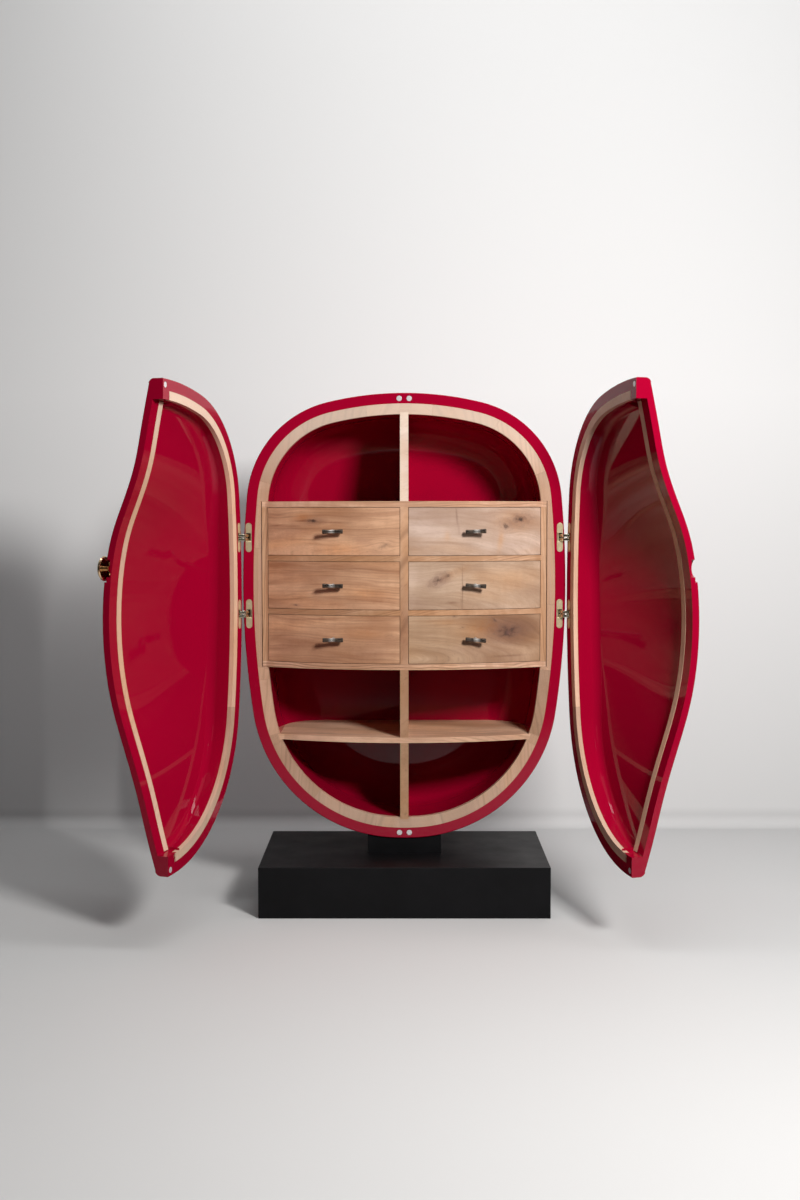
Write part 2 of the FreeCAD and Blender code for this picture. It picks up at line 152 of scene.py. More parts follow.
# smooth shading up to an angle; flat faces keep their own normals beside fine rounded edges
def smoothPiece(obj, degrees):
    obj.data.polygons.foreach_set("use_smooth", [True] * len(obj.data.polygons))
    obj.data.set_sharp_from_angle(angle=radians(degrees))
    modifier = obj.modifiers.new("weigh", "WEIGHTED_NORMAL")
    modifier.mode = "FACE_AREA_WITH_ANGLE"
    modifier.keep_sharp = True
    obj.data = plainCopy(obj)


# angles of a quarter turn
def quarterTurn(steps):
    return [pi / 2 * k / steps for k in range(steps + 1)]


# loops of equal length joined into a closed skin; each end loop is closed by one face
def skinMesh(name, loops):
    count = len(loops[0])
    points = [point for loop in loops for point in loop]
    faces = []
    for first in range(0, len(points) - count, count):
        for i in range(count):
            j = (i + 1) % count
            faces.append((first + i, first + j, first + count + j, first + count + i))
    faces += [tuple(range(count)), tuple(range(len(points) - count, len(points)))]
    return solidMesh(name, points, faces)


def skinObject(name, loops):
    return newObject(name, skinMesh(name, loops))


# obj minus each tool; the tools are removed afterwards
def carve(obj, tools):
    for tool in tools:
        modifier = obj.modifiers.new("carve", "BOOLEAN")
        modifier.operation = "DIFFERENCE"
        modifier.solver = "MANIFOLD"
        modifier.object = tool
    before = len(obj.data.vertices)
    obj.data = plainCopy(obj)
    for tool in tools:
        bpy.data.objects.remove(tool)
    print("  carved", obj.name, before, "to", len(obj.data.vertices), "points")
    return obj


# how far a tool goes past the face that it opens, farther for a box that cuts a whole width, and the play
# round a piece in its pocket
past = 0.01
farPast = 0.05
play = 0.0002
widePlay = 0.0003


def boxTool(x0, x1, y0, y1, z0, z1):
    points = [(x, y, z) for x in (x0, x1) for y in (y0, y1) for z in (z0, z1)]
    faces = [(0, 1, 3, 2), (4, 6, 7, 5), (0, 4, 5, 1), (2, 3, 7, 6), (0, 2, 6, 4), (1, 5, 7, 3)]
    return newObject("boxTool", solidMesh("boxTool", points, faces))


# one turn of points about Y
def circle(radius, y, sides, x=0.0, z=0.0):
    angles = (2 * pi * i / sides for i in range(sides))
    return [(x + radius * cos(a), y, z + radius * sin(a)) for a in angles]


# disc, tube or rod whose axis runs along Y
def roundTool(x, z, radius, y0, y1, sides=48):
    return skinObject("roundTool", [circle(radius, y, sides, x, z) for y in (y0, y1)])


# solid of revolution about Y from (radius, y) pairs
def lathe(name, profile, sides=64):
    return skinMesh(name, [circle(radius, y, sides) for radius, y in profile])


# outline of a hinge leaf: two half turns with straight sides between them
def obround(radius, y, steps, x=0.0, z=0.0):
    straight = (hinge["height"] - hinge["width"]) / 2
    loop = []
    for sign, start in ((1, 0.0), (-1, pi)):
        for i in range(steps + 1):
            angle = pi * i / steps + start
            loop.append((x + radius * cos(angle), y, z + sign * straight + radius * sin(angle)))
    return loop


# distance of the hinge link's inner side from the axis; its ends drift away from it
def linkRadius(degrees):
    share = max(0.0, abs(degrees) - hinge["driftFrom"]) / (hinge["sweep"] - hinge["driftFrom"])
    return hinge["linkInner"] + hinge["drift"] * share


# slot that the link's end fills when the doors are shut; inward is 1 in the cabinet and -1 in the door
def linkTool(side, z, inward, steps=14):
    near = []
    far = []
    for k in range(steps + 1):
        degrees = inward * (hinge["slotStart"] + (hinge["sweep"] + hinge["slotExtra"]) * k / steps)
        a = radians(degrees)
        inner = linkRadius(degrees) - hinge["clearance"]
        outer = hinge["linkInner"] + hinge["linkWidth"] + hinge["drift"] + hinge["clearance"]
        for found, r in ((near, inner), (far, outer)):
            found.append((side * (hinge["axisX"] - r * cos(a)), r * sin(a) + hinge["axisY"]))
    loop = near + far[::-1]
    loops = [[(x, y, z + lift) for x, y in loop] for lift in (-hinge["open"], hinge["open"])]
    return skinObject("linkTool", loops)


# tools for the leaves, cups and links of one side
def hingeTools(side, inward):
    x = side * leafX
    wide, tall = hinge["cupRoom"]
    face = 0.0 if inward > 0 else -door["gap"]
    leafSpan = sorted((-inward * past, face + inward * hinge["pocket"]))
    cupSpan = sorted(face + inward * depth for depth in hinge["cupReach"])
    tools = []
    for z in cabinet["hingeHeights"]:
        loops = [obround(hinge["width"] / 2 + play, y, 12, x, z) for y in leafSpan]
        tools.append(skinObject("leafTool", loops))
        tools.append(boxTool(x - wide, x + wide, *cupSpan, z - tall, z + tall))
        tools.append(linkTool(side, z, inward))
    return tools


def magnetTools(side, inward):
    face = 0.0 if inward > 0 else -door["gap"]
    span = sorted((-inward * past, face + inward * magnets["pocket"]))
    radius = magnets["radius"] + magnets["play"]
    return [roundTool(side * magnets["side"], z, radius, *span) for z in magnetHeights]


# merged copy of a CAD node's mesh, to cut with
def nodeTool(name):
    mesh = nodes[name].data.copy()
    bm = bmesh.new()
    bm.from_mesh(mesh)
    bmesh.ops.remove_doubles(bm, verts=bm.verts, dist=merge)
    bmesh.ops.recalc_face_normals(bm, faces=bm.faces)
    bm.to_mesh(mesh)
    bm.free()
    return newObject("nodeTool", mesh)


# smooth shading, one material, and what the frame has to know of the piece
def finishPiece(obj, body, material, replaced=(), degrees=34):
    smoothPiece(obj, degrees)
    obj.data.materials.clear()
    obj.data.materials.append(material)
    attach(obj, body)
    if replaced:
        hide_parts(*replaced)


# shader groups

# each input is a number, a vector of three or a colour of four; each output is a number, apart from Color
def newGroup(name, inputs, outputs):
    group = bpy.data.node_groups.new(name, "ShaderNodeTree")
    for label, value in inputs.items():
        kind = "Float" if isinstance(value, float) else {3: "Vector", 4: "Color"}[len(value)]
        socket = group.interface.new_socket(label, in_out="INPUT", socket_type="NodeSocket" + kind)
        socket.default_value = value
    for label in outputs:
        kind = "Color" if label == "Color" else "Float"
        group.interface.new_socket(label, in_out="OUTPUT", socket_type="NodeSocket" + kind)
    return group, group.nodes.new("NodeGroupInput").outputs, group.nodes.new("NodeGroupOutput")


# inputs by name or place, each a value or another node's output
def setInputs(tree, node, inputs):
    for key, value in dict(inputs).items():
        if isinstance(value, bpy.types.NodeSocket):
            tree.links.new(value, node.inputs[key])
        else:
            node.inputs[key].default_value = value


# one node with its settings and inputs
def put(tree, kind, inputs=(), **settings):
    node = tree.nodes.new(kind)
    for key, value in settings.items():
        setattr(node, key, value)
    setInputs(tree, node, inputs)
    return node


def reckon(tree, operation, a, b=0.0):
    return put(tree, "ShaderNodeMath", {0: a, 1: b}, operation=operation).outputs[0]


# product, sum, difference and quotient in one tree
def sumsIn(tree):
    def work(operation):
        return lambda a, b: reckon(tree, operation, a, b)
    return [work(operation) for operation in ("MULTIPLY", "ADD", "SUBTRACT", "DIVIDE")]


def parted(tree, vector):
    return put(tree, "ShaderNodeSeparateXYZ", {0: vector}).outputs


def united(tree, *values):
    return put(tree, "ShaderNodeCombineXYZ", dict(enumerate(values))).outputs[0]


def mapRange(tree, value, low, high, toLow=0.0, toHigh=1.0):
    node = put(tree, "ShaderNodeMapRange", {"Value": value, "From Min": low, "From Max": high,
                                            "To Min": toLow, "To Max": toHigh}, clamp=True)
    return node.outputs["Result"]


def mixColour(tree, share, a, b, blend="MIX"):
    node = put(tree, "ShaderNodeMix", {"Factor": share, 6: a, 7: b}, data_type="RGBA", blend_type=blend)
    return node.outputs[2]


def noise(tree, vector, scale, detail=2.0, rough=0.5, distortion=0.0):
    node = put(tree, "ShaderNodeTexNoise", {"Vector": vector, "Scale": scale, "Detail": detail,
                                            "Roughness": rough, "Distortion": distortion})
    return node.outputs["Fac"]


# timber as a slice through a trunk: growth rings about a pith that runs along X, tilted by the taper
def buildGrainGroup():
    tree, given, end = newGroup("timberGrain", {
        "Vector": (0, 0, 0), "Offset": 0.0, "Push": 0.0, "Pith": 0.0, "Away": 0.2, "Taper": 0.1,
        "Pale": (0.6, 0.4, 0.25, 1), "Deep": (0.35, 0.2, 0.1, 1), "Streak": (0.12, 0.06, 0.03, 1),
        "Figure": 0.5, "Rings": 0.4, "Fibre": 0.28, "Warmth": 0.5, "Ripple": 0.13, "Spacing": 0.009},
        ("Color", "Roughness", "Height"))
    shift = given["Offset"]
    times, plus, minus, over = sumsIn(tree)

    def slid(value, factor):
        return plus(times(value, factor), shift)

    def cloud(x, y, z, detail, rough=0.5):
        return noise(tree, united(tree, x, y, z), 1.0, detail, rough)

    def part(value, low, high):
        return mapRange(tree, value, low, high)

    x, y, z = parted(tree, given["Vector"])
    warp = cloud(plus(times(x, 2.2), times(shift, 3.1)), times(y, 5.0), slid(z, 7.0), 3.0)
    small = cloud(slid(x, 9.0), times(y, 20.0), times(z, 30.0), 2.0)
    across = plus(minus(z, given["Pith"]), plus(times(warp, 0.050), times(small, 0.006)))
    across = plus(across, given["Push"])
    away = plus(plus(given["Away"], times(given["Taper"], x)), times(y, 0.4))
    ring = reckon(tree, "SQRT", plus(times(across, across), times(away, away)))
    ring = plus(ring, times(shift, 0.173))
    figure = cloud(slid(x, 1.8), times(y, 6.0), times(ring, 26.0), 4.0, 0.6)
    patch = cloud(slid(x, 5.0), times(y, 6.0), slid(z, 9.0), 2.0)
    wave = reckon(tree, "SINE", plus(over(times(ring, 6.283), given["Spacing"]), times(figure, 9.0)))
    late = reckon(tree, "POWER", part(wave, -1.0, 1.0), 3.0)
    chosen = part(cloud(times(x, 1.2), shift, times(ring, 60.0), 2.0), 0.44, 0.62)
    fibre = cloud(times(x, 6.0), times(y, 240.0), plus(times(ring, 420.0), times(z, 60.0)), 4.0, 0.7)
    streak = cloud(slid(x, 2.6), times(y, 20.0), times(ring, 95.0), 3.0, 0.6)
    ripple = cloud(times(x, 42.0), times(y, 20.0), slid(z, 9.0), 1.0)
    hue = cloud(plus(times(x, 3.2), times(shift, 1.7)), times(y, 5.0), slid(z, 13.0), 2.0)
    pore = part(cloud(times(x, 48.0), times(y, 700.0), times(ring, 1100.0), 1.0), 0.60, 0.72)
    layers = (
        (times(part(figure, 0.38, 0.66), given["Figure"]), given["Deep"]),
        (times(part(patch, 0.48, 0.72), times(given["Figure"], 0.8)), given["Deep"]),
        (times(part(patch, 0.45, 0.25), 0.45), given["Pale"]),
        (times(part(streak, 0.54, 0.74), times(given["Figure"], 0.6)), given["Deep"]),
        (times(late, times(chosen, given["Rings"])), given["Streak"]),
        (times(late, times(given["Rings"], 0.15)), given["Deep"]),
        (times(part(fibre, 0.36, 0.70), given["Fibre"]), given["Deep"]),
        (times(pore, 0.22), given["Streak"]),
        (times(part(hue, 0.50, 0.70), given["Warmth"]), (1.0, 0.84, 0.64, 1), "MULTIPLY"),
        (times(part(hue, 0.46, 0.28), given["Warmth"]), (0.92, 0.90, 0.97, 1), "MULTIPLY"),
        (times(part(ripple, 0.44, 0.66), given["Ripple"]), given["Deep"]),
    )
    colour = given["Pale"]
    for share, *tone in layers:
        colour = mixColour(tree, share, colour, *tone)
    setInputs(tree, end, {"Color": colour, "Roughness": mapRange(tree, fibre, 0.2, 0.8, 0.44, 0.60),
                          "Height": minus(fibre, times(pore, 0.8))})
    return tree


# a knot: its dark heart, the stained timber round it with fine rings, how far it pushes the grain aside,
# and the glow by which a soft zone fades
def buildKnotGroup():
    tree, given, end = newGroup("timberKnot", {
        "Vector": (0, 0, 0), "Centre": (0, 0, 0), "Size": 0.02, "Stretch": 1.6, "Lean": 0.0},
        ("Mask", "Halo", "Push", "Glow"))
    times, plus, minus, over = sumsIn(tree)

    def shifted(vector, operation):
        both = {0: vector, 1: given["Centre"]}
        return put(tree, "ShaderNodeVectorMath", both, operation=operation).outputs[0]

    x, y, z = parted(tree, shifted(given["Vector"], "SUBTRACT"))
    flat = over(x, times(given["Size"], given["Stretch"]))
    tall = over(minus(z, times(x, given["Lean"])), given["Size"])
    clean = reckon(tree, "SQRT", plus(times(flat, flat), times(tall, tall)))
    about = united(tree, over(flat, clean), over(tall, clean), times(clean, 0.35))
    rays = noise(tree, shifted(about, "ADD"), 2.6, 3.0, 0.6)
    rough = noise(tree, given["Vector"], 60.0, 4.0, 0.6)
    far = plus(clean, mapRange(tree, rough, 0.2, 0.8, -0.55, 0.55))
    far = plus(far, mapRange(tree, rays, 0.25, 0.75, -0.20, 0.20))
    lines = mapRange(tree, reckon(tree, "SINE", times(far, 13.0)), -0.2, 1.0, 0.50, 1.0)
    fall = reckon(tree, "EXPONENT", times(times(clean, clean), -0.22))
    glow = reckon(tree, "EXPONENT", times(times(clean, clean), -0.9))
    side = mapRange(tree, tall, -1.2, 1.2, -1.0, 1.0)
    setInputs(tree, end, {
        "Mask": mapRange(tree, far, 0.60, 0.10),
        "Halo": times(mapRange(tree, far, 1.7, 0.2), lines),
        "Push": times(times(fall, side), times(given["Size"], -0.9)),
        "Glow": times(glow, mapRange(tree, rough, 0.25, 0.6, 0.6, 1.0))})
    return tree


# soft cloudy wear, used by the metals, the steel and the lacquer
def buildMottleGroup():
    tree, given, end = newGroup("mottle", {"Vector": (0, 0, 0), "Scale": 20.0, "Low": 0.2, "High": 0.4},
                                ("Mask", "Roughness", "Height"))
    cloud = noise(tree, given["Vector"], given["Scale"], 4.0, 0.6)
    setInputs(tree, end, {
        "Mask": mapRange(tree, cloud, 0.35, 0.68),
        "Roughness": mapRange(tree, cloud, 0.3, 0.7, given["Low"], given["High"]),
        "Height": noise(tree, given["Vector"], reckon(tree, "MULTIPLY", given["Scale"], 9.0), 2.0)})
    return tree


grainGroup = buildGrainGroup()
knotGroup = buildKnotGroup()
mottleGroup = buildMottleGroup()


# materials
def newMaterial(name):
    material = bpy.data.materials.new(name)
    material.use_nodes = True
    tree = material.node_tree
    shader = tree.nodes["Principled BSDF"]
    coords = tree.nodes.new("ShaderNodeTexCoord")
    return material, tree, shader, coords.outputs["Object"]


def bump(tree, shader, height, strength, distance):
    node = put(tree, "ShaderNodeBump", {"Height": height, "Strength": strength, "Distance": distance})
    tree.links.new(node.outputs["Normal"], shader.inputs["Normal"])


# tones of each timber: pale, deep and streak
timber = {
    "warm": ((0.78, 0.465, 0.285), (0.41, 0.205, 0.115), (0.14, 0.068, 0.042)),
    # the pale, fawn and tan tones darken the right fronts from top to bottom: partly their own timber, partly
    # painted shade
    "pale": ((0.70, 0.525, 0.425), (0.43, 0.28, 0.20), (0.18, 0.105, 0.075)),
    "fawn": ((0.61, 0.435, 0.315), (0.38, 0.235, 0.15), (0.18, 0.105, 0.075)),
    "tan": ((0.58, 0.385, 0.25), (0.34, 0.19, 0.105), (0.14, 0.078, 0.052)),
    "light": ((0.80, 0.67, 0.565), (0.62, 0.44, 0.32), (0.36, 0.22, 0.14)),
    "ring": ((0.72, 0.46, 0.32), (0.52, 0.30, 0.19), (0.28, 0.155, 0.09)),
    "shelf": ((0.88, 0.575, 0.40), (0.52, 0.29, 0.18), (0.17, 0.085, 0.052)),
    "door": ((0.83, 0.56, 0.405), (0.63, 0.385, 0.25), (0.34, 0.19, 0.11)),
    "case": ((0.70, 0.43, 0.27), (0.42, 0.215, 0.11), (0.17, 0.085, 0.05)),
}
# the parts of a knot that stain the timber, how strongly, and their tones
knotStains = (("Halo", 0.62, (0.20, 0.115, 0.088, 1)), ("Mask", 0.80, (0.075, 0.042, 0.034, 1)))
# how much one block of a ring may be darker or lighter, and the heights between which the blocks turn pale
blockTint = (0.68, 1.10)
# painted sheen: the blocks turn pale near the top and the bottom of the ring, where their grain catches the
# lamp
blockPaintedSheen = ((1.30, 1.50, 0.5), (0.45, 0.28, 0.22))


def toneInputs(tone):
    return {name: (*value, 1) for name, value in zip(("Pale", "Deep", "Streak"), timber[tone])}


# turn is about Y: 0 for grain along X, 90 for grain along Z; each knot is centre, size, stretch, lean and
# strength; with a tint after them it is a soft zone that the tint multiplies
def timberMaterial(name, tone, offset=0.0, turn=0.0, knots=(), blocks=False, **grainValues):
    material, tree, shader, source = newMaterial(name)
    place = source
    if turn:
        turned = (0, radians(turn), 0)
        place = put(tree, "ShaderNodeMapping", {"Vector": source, "Rotation": turned}).outputs[0]
    shift = offset
    if blocks:
        tag = put(tree, "ShaderNodeAttribute", attribute_name="block").outputs["Fac"]
        shift = reckon(tree, "ADD", tag, offset)
    values = {"Vector": place, "Offset": shift, **toneInputs(tone), **grainValues}
    grain = put(tree, "ShaderNodeGroup", values, node_tree=grainGroup)
    colour = grain.outputs["Color"]
    push = 0.0
    for (x, z), size, stretch, lean, strength, *tint in knots:
        front = put(tree, "ShaderNodeVectorMath", {0: source, 1: (1, 0, 1)}, operation="MULTIPLY").outputs[0]
        knot = put(tree, "ShaderNodeGroup", {"Vector": front, "Centre": (x, 0, z), "Size": size,
                                             "Stretch": stretch, "Lean": lean}, node_tree=knotGroup).outputs
        if tint:
            share = reckon(tree, "MULTIPLY", knot["Glow"], strength)
            colour = mixColour(tree, share, colour, (*tint[0], 1), "MULTIPLY")
            continue
        for part, most, stain in knotStains:
            share = reckon(tree, "MULTIPLY", knot[part], most * strength)
            colour = mixColour(tree, share, colour, stain)
        push = reckon(tree, "ADD", push, knot["Push"])
    setInputs(tree, grain, {"Push": push})
    if blocks:
        drawn = put(tree, "ShaderNodeTexWhiteNoise", {"W": tag}, noise_dimensions="1D").outputs["Value"]
        tint = mapRange(tree, drawn, 0.0, 1.0, *blockTint)
        grey = put(tree, "ShaderNodeCombineColor", {0: tint, 1: tint, 2: tint}).outputs[0]
        colour = mixColour(tree, 1.0, colour, grey, "MULTIPLY")
        height = parted(tree, source)[2]
        # painted sheen: blocks high and low on the ring are lightened towards the pale timber tone
        for low, high, most in blockPaintedSheen:
            share = mapRange(tree, height, low, high, 0.0, most)
            colour = mixColour(tree, share, colour, toneInputs("light")["Pale"])
    setInputs(tree, shader, {"Base Color": colour, "Roughness": grain.outputs["Roughness"],
                             "Specular IOR Level": 0.3})
    bump(tree, shader, grain.outputs["Height"], 0.3, 0.0004)
    return material


# two close tones under soft wear; the other inputs of the shader are given by name
def mottledMaterial(name, colour, worn, rough, scale, others):
    material, tree, shader, place = newMaterial(name)
    cloud = put(tree, "ShaderNodeGroup", {"Vector": place, "Scale": scale, "Low": rough[0], "High": rough[1]},
                node_tree=mottleGroup).outputs
    tone = mixColour(tree, cloud["Mask"], (*colour, 1), (*worn, 1))
    setInputs(tree, shader, {"Base Color": tone, "Roughness": cloud["Roughness"], **others})
    return material, tree, shader, place, cloud


def lacquerMaterial():
    material, tree, shader, place, cloud = mottledMaterial(
        "crimsonLacquer", (0.355, 0.001, 0.0235), (0.335, 0.0009, 0.022), (0.16, 0.22), 3.0,
        {"Specular IOR Level": 0.0, "Coat Weight": 1.0, "Coat IOR": 1.33, "Coat Roughness": 0.03})
    bump(tree, shader, noise(tree, place, 55.0, 1.0), 0.06, 0.0006)
    return material


def metalMaterial(name, colour, worn, rough, scale, metallic=1.0, grit=0.1, gloss=0.5):
    material, tree, shader, place, cloud = mottledMaterial(
        name, colour, worn, rough, scale, {"Metallic": metallic, "Specular IOR Level": gloss})
    bump(tree, shader, cloud["Height"], grit, 0.0003)
    return material


metals = {
    "brass": {"colour": (0.93, 0.80, 0.53), "worn": (0.78, 0.62, 0.36), "rough": (0.30, 0.46), "scale": 70.0,
              "metallic": 0.65},
    "polishedBrass": {"colour": (0.74, 0.52, 0.32), "worn": (0.60, 0.40, 0.22), "rough": (0.12, 0.22),
                      "scale": 40.0},
    # the cups' brass is darkened to near black: painted shade in the hollow behind each leaf
    "cupBrassPaintedShade": {"colour": (0.05, 0.034, 0.022), "worn": (0.09, 0.06, 0.036), "rough": (0.45, 0.6),
                    "scale": 90.0},
    "magnetNickel": {"colour": (0.90, 0.88, 0.885), "worn": (0.78, 0.76, 0.77), "rough": (0.28, 0.42),
                     "scale": 90.0, "metallic": 0.4},
    "darkBronze": {"colour": (0.055, 0.044, 0.039), "worn": (0.14, 0.105, 0.08), "rough": (0.24, 0.42),
                   "scale": 120.0, "metallic": 0.85, "grit": 0.3},
    "blackSteel": {"colour": (0.0055, 0.0055, 0.006), "worn": (0.009, 0.0088, 0.0098), "rough": (0.38, 0.52),
                   "scale": 7.0, "metallic": 0.0, "gloss": 0.14},
    "linkBrass": {"colour": (0.95, 0.88, 0.70), "worn": (0.88, 0.78, 0.56), "rough": (0.18, 0.30),
                  "scale": 60.0},
}
# painted highlight: the pulls' saddle, above their stem, is painted bright where the lamp's glint falls
paintedHighlight = {"middle": 0.2225, "reach": 0.012, "tone": (0.62, 0.60, 0.57, 1)}


# paints the lamp's glint on the pulls' saddle into their colour, as a bright patch
def paintHighlight(material):
    tree = material.node_tree
    shader = tree.nodes["Principled BSDF"]
    x = parted(tree, tree.nodes["Texture Coordinate"].outputs["Object"])[0]
    off = reckon(tree, "SUBTRACT", reckon(tree, "ABSOLUTE", x), paintedHighlight["middle"])
    share = mapRange(tree, reckon(tree, "ABSOLUTE", off), paintedHighlight["reach"], 0.0)
    old = shader.inputs["Base Color"].links[0].from_socket
    tree.links.new(mixColour(tree, share, old, paintedHighlight["tone"]), shader.inputs["Base Color"])


lacquer = lacquerMaterial()
metal = {name: metalMaterial(name, **values) for name, values in metals.items()}
paintHighlight(metal["darkBronze"])
print("materials built")


# carcass: one lacquered shell, rounded at the back, with its tub
carcass = {"depth": 0.330, "backRound": 0.150, "tubBack": 0.302, "tubRound": 0.122, "rimRound": 0.003,
           "roundSteps": 14, "step": 0.012, "rows": (0.12, 0.06, 0.02)}
# hinges: obround leaves, thin cups behind them and twin-bar links about the door's axis; the room for a cup
# is half its width and half its height
hinge = {
    "axisX": 0.5065, "axisY": -0.00075, "leafOffset": 0.01054, "width": 0.019, "height": 0.091,
    "thickness": 0.004, "pocket": 0.0042, "edge": 0.0005, "open": 0.0136, "wall": 0.0015, "lip": 0.0032,
    "cup": 0.0084, "cupWall": 0.0004, "cupHeight": 0.052, "cupDepth": 0.027, "cupFloor": 0.0006,
    "cupRoom": (0.0087, 0.0262), "cupReach": (0.002, 0.0275), "sideOpen": 0.0198, "linkInner": 0.0142,
    "linkWidth": 0.0038, "barHeight": 0.0086, "barGap": 0.0034, "sweep": 64.0, "slotStart": -2.0,
    "slotExtra": 3.5, "drift": 0.0035, "driftFrom": 40.0, "round": 0.0013, "barrel": 0.0023,
    "barrelAt": (0.0048, 0.0082), "groove": 0.0003, "clearance": 0.0003, "pins": (-44, 0, 44),
}
magnets = {"radius": 0.0085, "thickness": 0.005, "pocket": 0.0048, "play": 0.0004, "side": 0.0155,
           "inset": 0.0175, "bevel": 0.0006}
leafX = hinge["axisX"] - hinge["leafOffset"] - hinge["width"] / 2
magnetHeights = (cabinet["rimLift"] + magnets["inset"], rimTop - magnets["inset"])


# from the back's edge round to the side, over the rim and its pocket for the ring, and down into the tub
def shellProfile():
    inner = cabinet["redRim"] + cabinet["ring"]
    turn = quarterTurn(carcass["roundSteps"])
    rim = carcass["rimRound"]

    def rounded(inset, y, r, angles):
        return [(inset + r * (1 - cos(a)), y - r * (1 - sin(a))) for a in angles]

    profile = rounded(0.0, carcass["depth"], carcass["backRound"], turn[::-1])
    profile += [(0.0, y) for y in carcass["rows"]]
    profile += [(rim * (1 - cos(a)), rim * (1 - sin(a))) for a in (0.0, 0.5, 1.05, pi / 2)]
    profile += [(cabinet["redRim"] - play, 0.0), (cabinet["redRim"], play)]
    profile += [(inset, cabinet["ringDepth"]) for inset in (cabinet["redRim"], inner)]
    profile += [(inner, y) for y in carcass["rows"][1::-1]]
    return profile + rounded(inner, carcass["tubBack"], carcass["tubRound"], turn)


def buildShell():
    half = halfOutline(carcass["step"])
    shell = skinObject("carcassShell", [wholeOutline(half, inset, y) for inset, y in shellProfile()])
    wide = cabinet["caseHalf"] - play
    tools = [boxTool(-wide, wide, -farPast, cabinet["caseBack"] - play, cabinet["caseLow"] + play,
                     cabinet["caseHigh"] - play)]
    for side in (-1, 1):
        tools += hingeTools(side, 1) + magnetTools(side, 1)
    finishPiece(carve(shell, tools), "carcass", lacquer, ["shell"])


# doors: bell-shaped domes, built shut and then swung to the photographed angle
door = {
    "gap": 0.0015, "meeting": 0.001, "belly": 0.200, "edge": 0.046, "edgeRound": 0.013, "rimRound": 0.0025,
    "meetRound": 0.003, "skin": 0.008, "flange": 0.022, "ringWidth": 0.025, "ringDepth": 0.014,
    "ringPlay": 0.0005, "corner": 0.035, "band": 0.040, "strip": 0.025, "stripDepth": 0.012,
    "insideRound": 0.018, "stripRound": 0.010, "collar": 0.004, "least": 0.006,
    "overlap": 0.002, "stripTop": 0.035, "step": 0.010,
    "angles": {-1: -108.4, 1: 105.2},
    "bell": ((-0.02, 0.150), (0.00, 0.190), (0.07, 0.330), (0.16, 0.490), (0.25, 0.680), (0.34, 0.870),
             (0.43, 0.978), (0.54, 1.000), (0.63, 0.935), (0.70, 0.815), (0.76, 0.645), (0.83, 0.468),
             (0.90, 0.360), (1.00, 0.210), (1.02, 0.180)),
}
# the left door's meeting edge, the far sides of its band, strip and corner blocks, and its ring's inner edge
meetX = -door["meeting"]
bandX = meetX - door["band"]
stripX = bandX - door["strip"]
cornerX = meetX - door["corner"]
ringInset = cabinet["redRim"] + door["ringWidth"]


# natural cubic spline through the bell's shares
def splineOf(pairs):
    xs = [p[0] for p in pairs]
    ys = [p[1] for p in pairs]
    n = len(xs)
    second = [0.0] * n
    work = [0.0] * n
    for i in range(1, n - 1):
        sig = (xs[i] - xs[i - 1]) / (xs[i + 1] - xs[i - 1])
        p = sig * second[i - 1] + 2
        second[i] = (sig - 1) / p
        slope = (ys[i + 1] - ys[i]) / (xs[i + 1] - xs[i]) - (ys[i] - ys[i - 1]) / (xs[i] - xs[i - 1])
        work[i] = (6 * slope / (xs[i + 1] - xs[i - 1]) - sig * work[i - 1]) / p
    for i in range(n - 2, -1, -1):
        second[i] = second[i] * second[i + 1] + work[i]

    def value(x):
        k = 0
        while k < n - 2 and x > xs[k + 1]:
            k += 1
        h = xs[k + 1] - xs[k]
        a = (xs[k + 1] - x) / h
        b = (x - xs[k]) / h
        bend = (a ** 3 - a) * second[k] + (b ** 3 - b) * second[k + 1]
        return a * ys[k] + b * ys[k + 1] + bend * h * h / 6
    return value


bellShare = splineOf(door["bell"])


def domeY(x, z, lift):
    spread = 1 - (x / cabinet["halfWidth"]) ** 2
    share = bellShare((z - cabinet["rimLift"]) / (rimTop - cabinet["rimLift"]))
    return -(door["edge"] + (door["belly"] * share - door["edge"]) * spread - lift) - door["gap"]


# one section of a dome from its side to the meeting edge: the outer round, the dome and the round at its end
def domeLine(p, inset, lift, stop, big, room, turn, steps, small, lastTurn):
    line = []
    for a in turn:
        x, z = insetPoint(p, inset + big * (1 - cos(a)))
        x = min(x, stop)
        line.append((x, domeY(x, z, lift) + room * (1 - sin(a)), z))
    end = stop - small
    for k in range(1, steps + 1):
        cx = min(x + (end - x) * k / steps, stop)
        line.append((cx, domeY(cx, z, lift), z))
    for a in lastTurn:
        cx = min(max(x, end) + small * sin(a), stop)
        line.append((cx, domeY(cx, z, lift) + small * (1 - cos(a)), z))
    return line


def doorBlank():
    r = door["rimRound"]
    big = door["edgeRound"]
    loops = []
    for p in halfOutline(door["step"]):
        loop = [(min(x, meetX), -door["gap"] - r * (1 - sin(a)), z) for a in (pi / 2, 1.0, 0.5)
                for x, z in [insetPoint(p, r * (1 - cos(a)))]]
        x = min(p[0], meetX)
        low = domeY(x, p[1], 0.0)
        loop += [(x, -door["gap"] - r, p[1]), (x, (low + big - door["gap"] - r) / 2, p[1])]
        loop += domeLine(p, 0.0, 0.0, meetX, big, big, quarterTurn(8), 29, door["meetRound"],
                         (0.5, 1.0, pi / 2))
        loops.append(loop + [(meetX, -door["gap"], loop[-1][2])])
    return skinObject("doorShell", loops)


# tool for the deep hollow, rounded where it meets its side wall
def hollowTool():
    loops = []
    for p in halfOutline(door["step"]):
        x, z = insetPoint(p, ringInset)
        if x > stripX:
            continue
        room = min(door["insideRound"], -domeY(x, z, door["skin"]) - door["least"])
        loop = [(x, past, z), (x, -door["collar"], z)]
        loop += domeLine(p, ringInset, door["skin"], stripX, door["insideRound"], room, quarterTurn(12), 24,
                         door["stripRound"], (0.4, 0.8, 1.2, pi / 2))
        loops.append(loop + [(stripX, past, loop[-1][2])])
    return skinObject("hollowTool", loops)


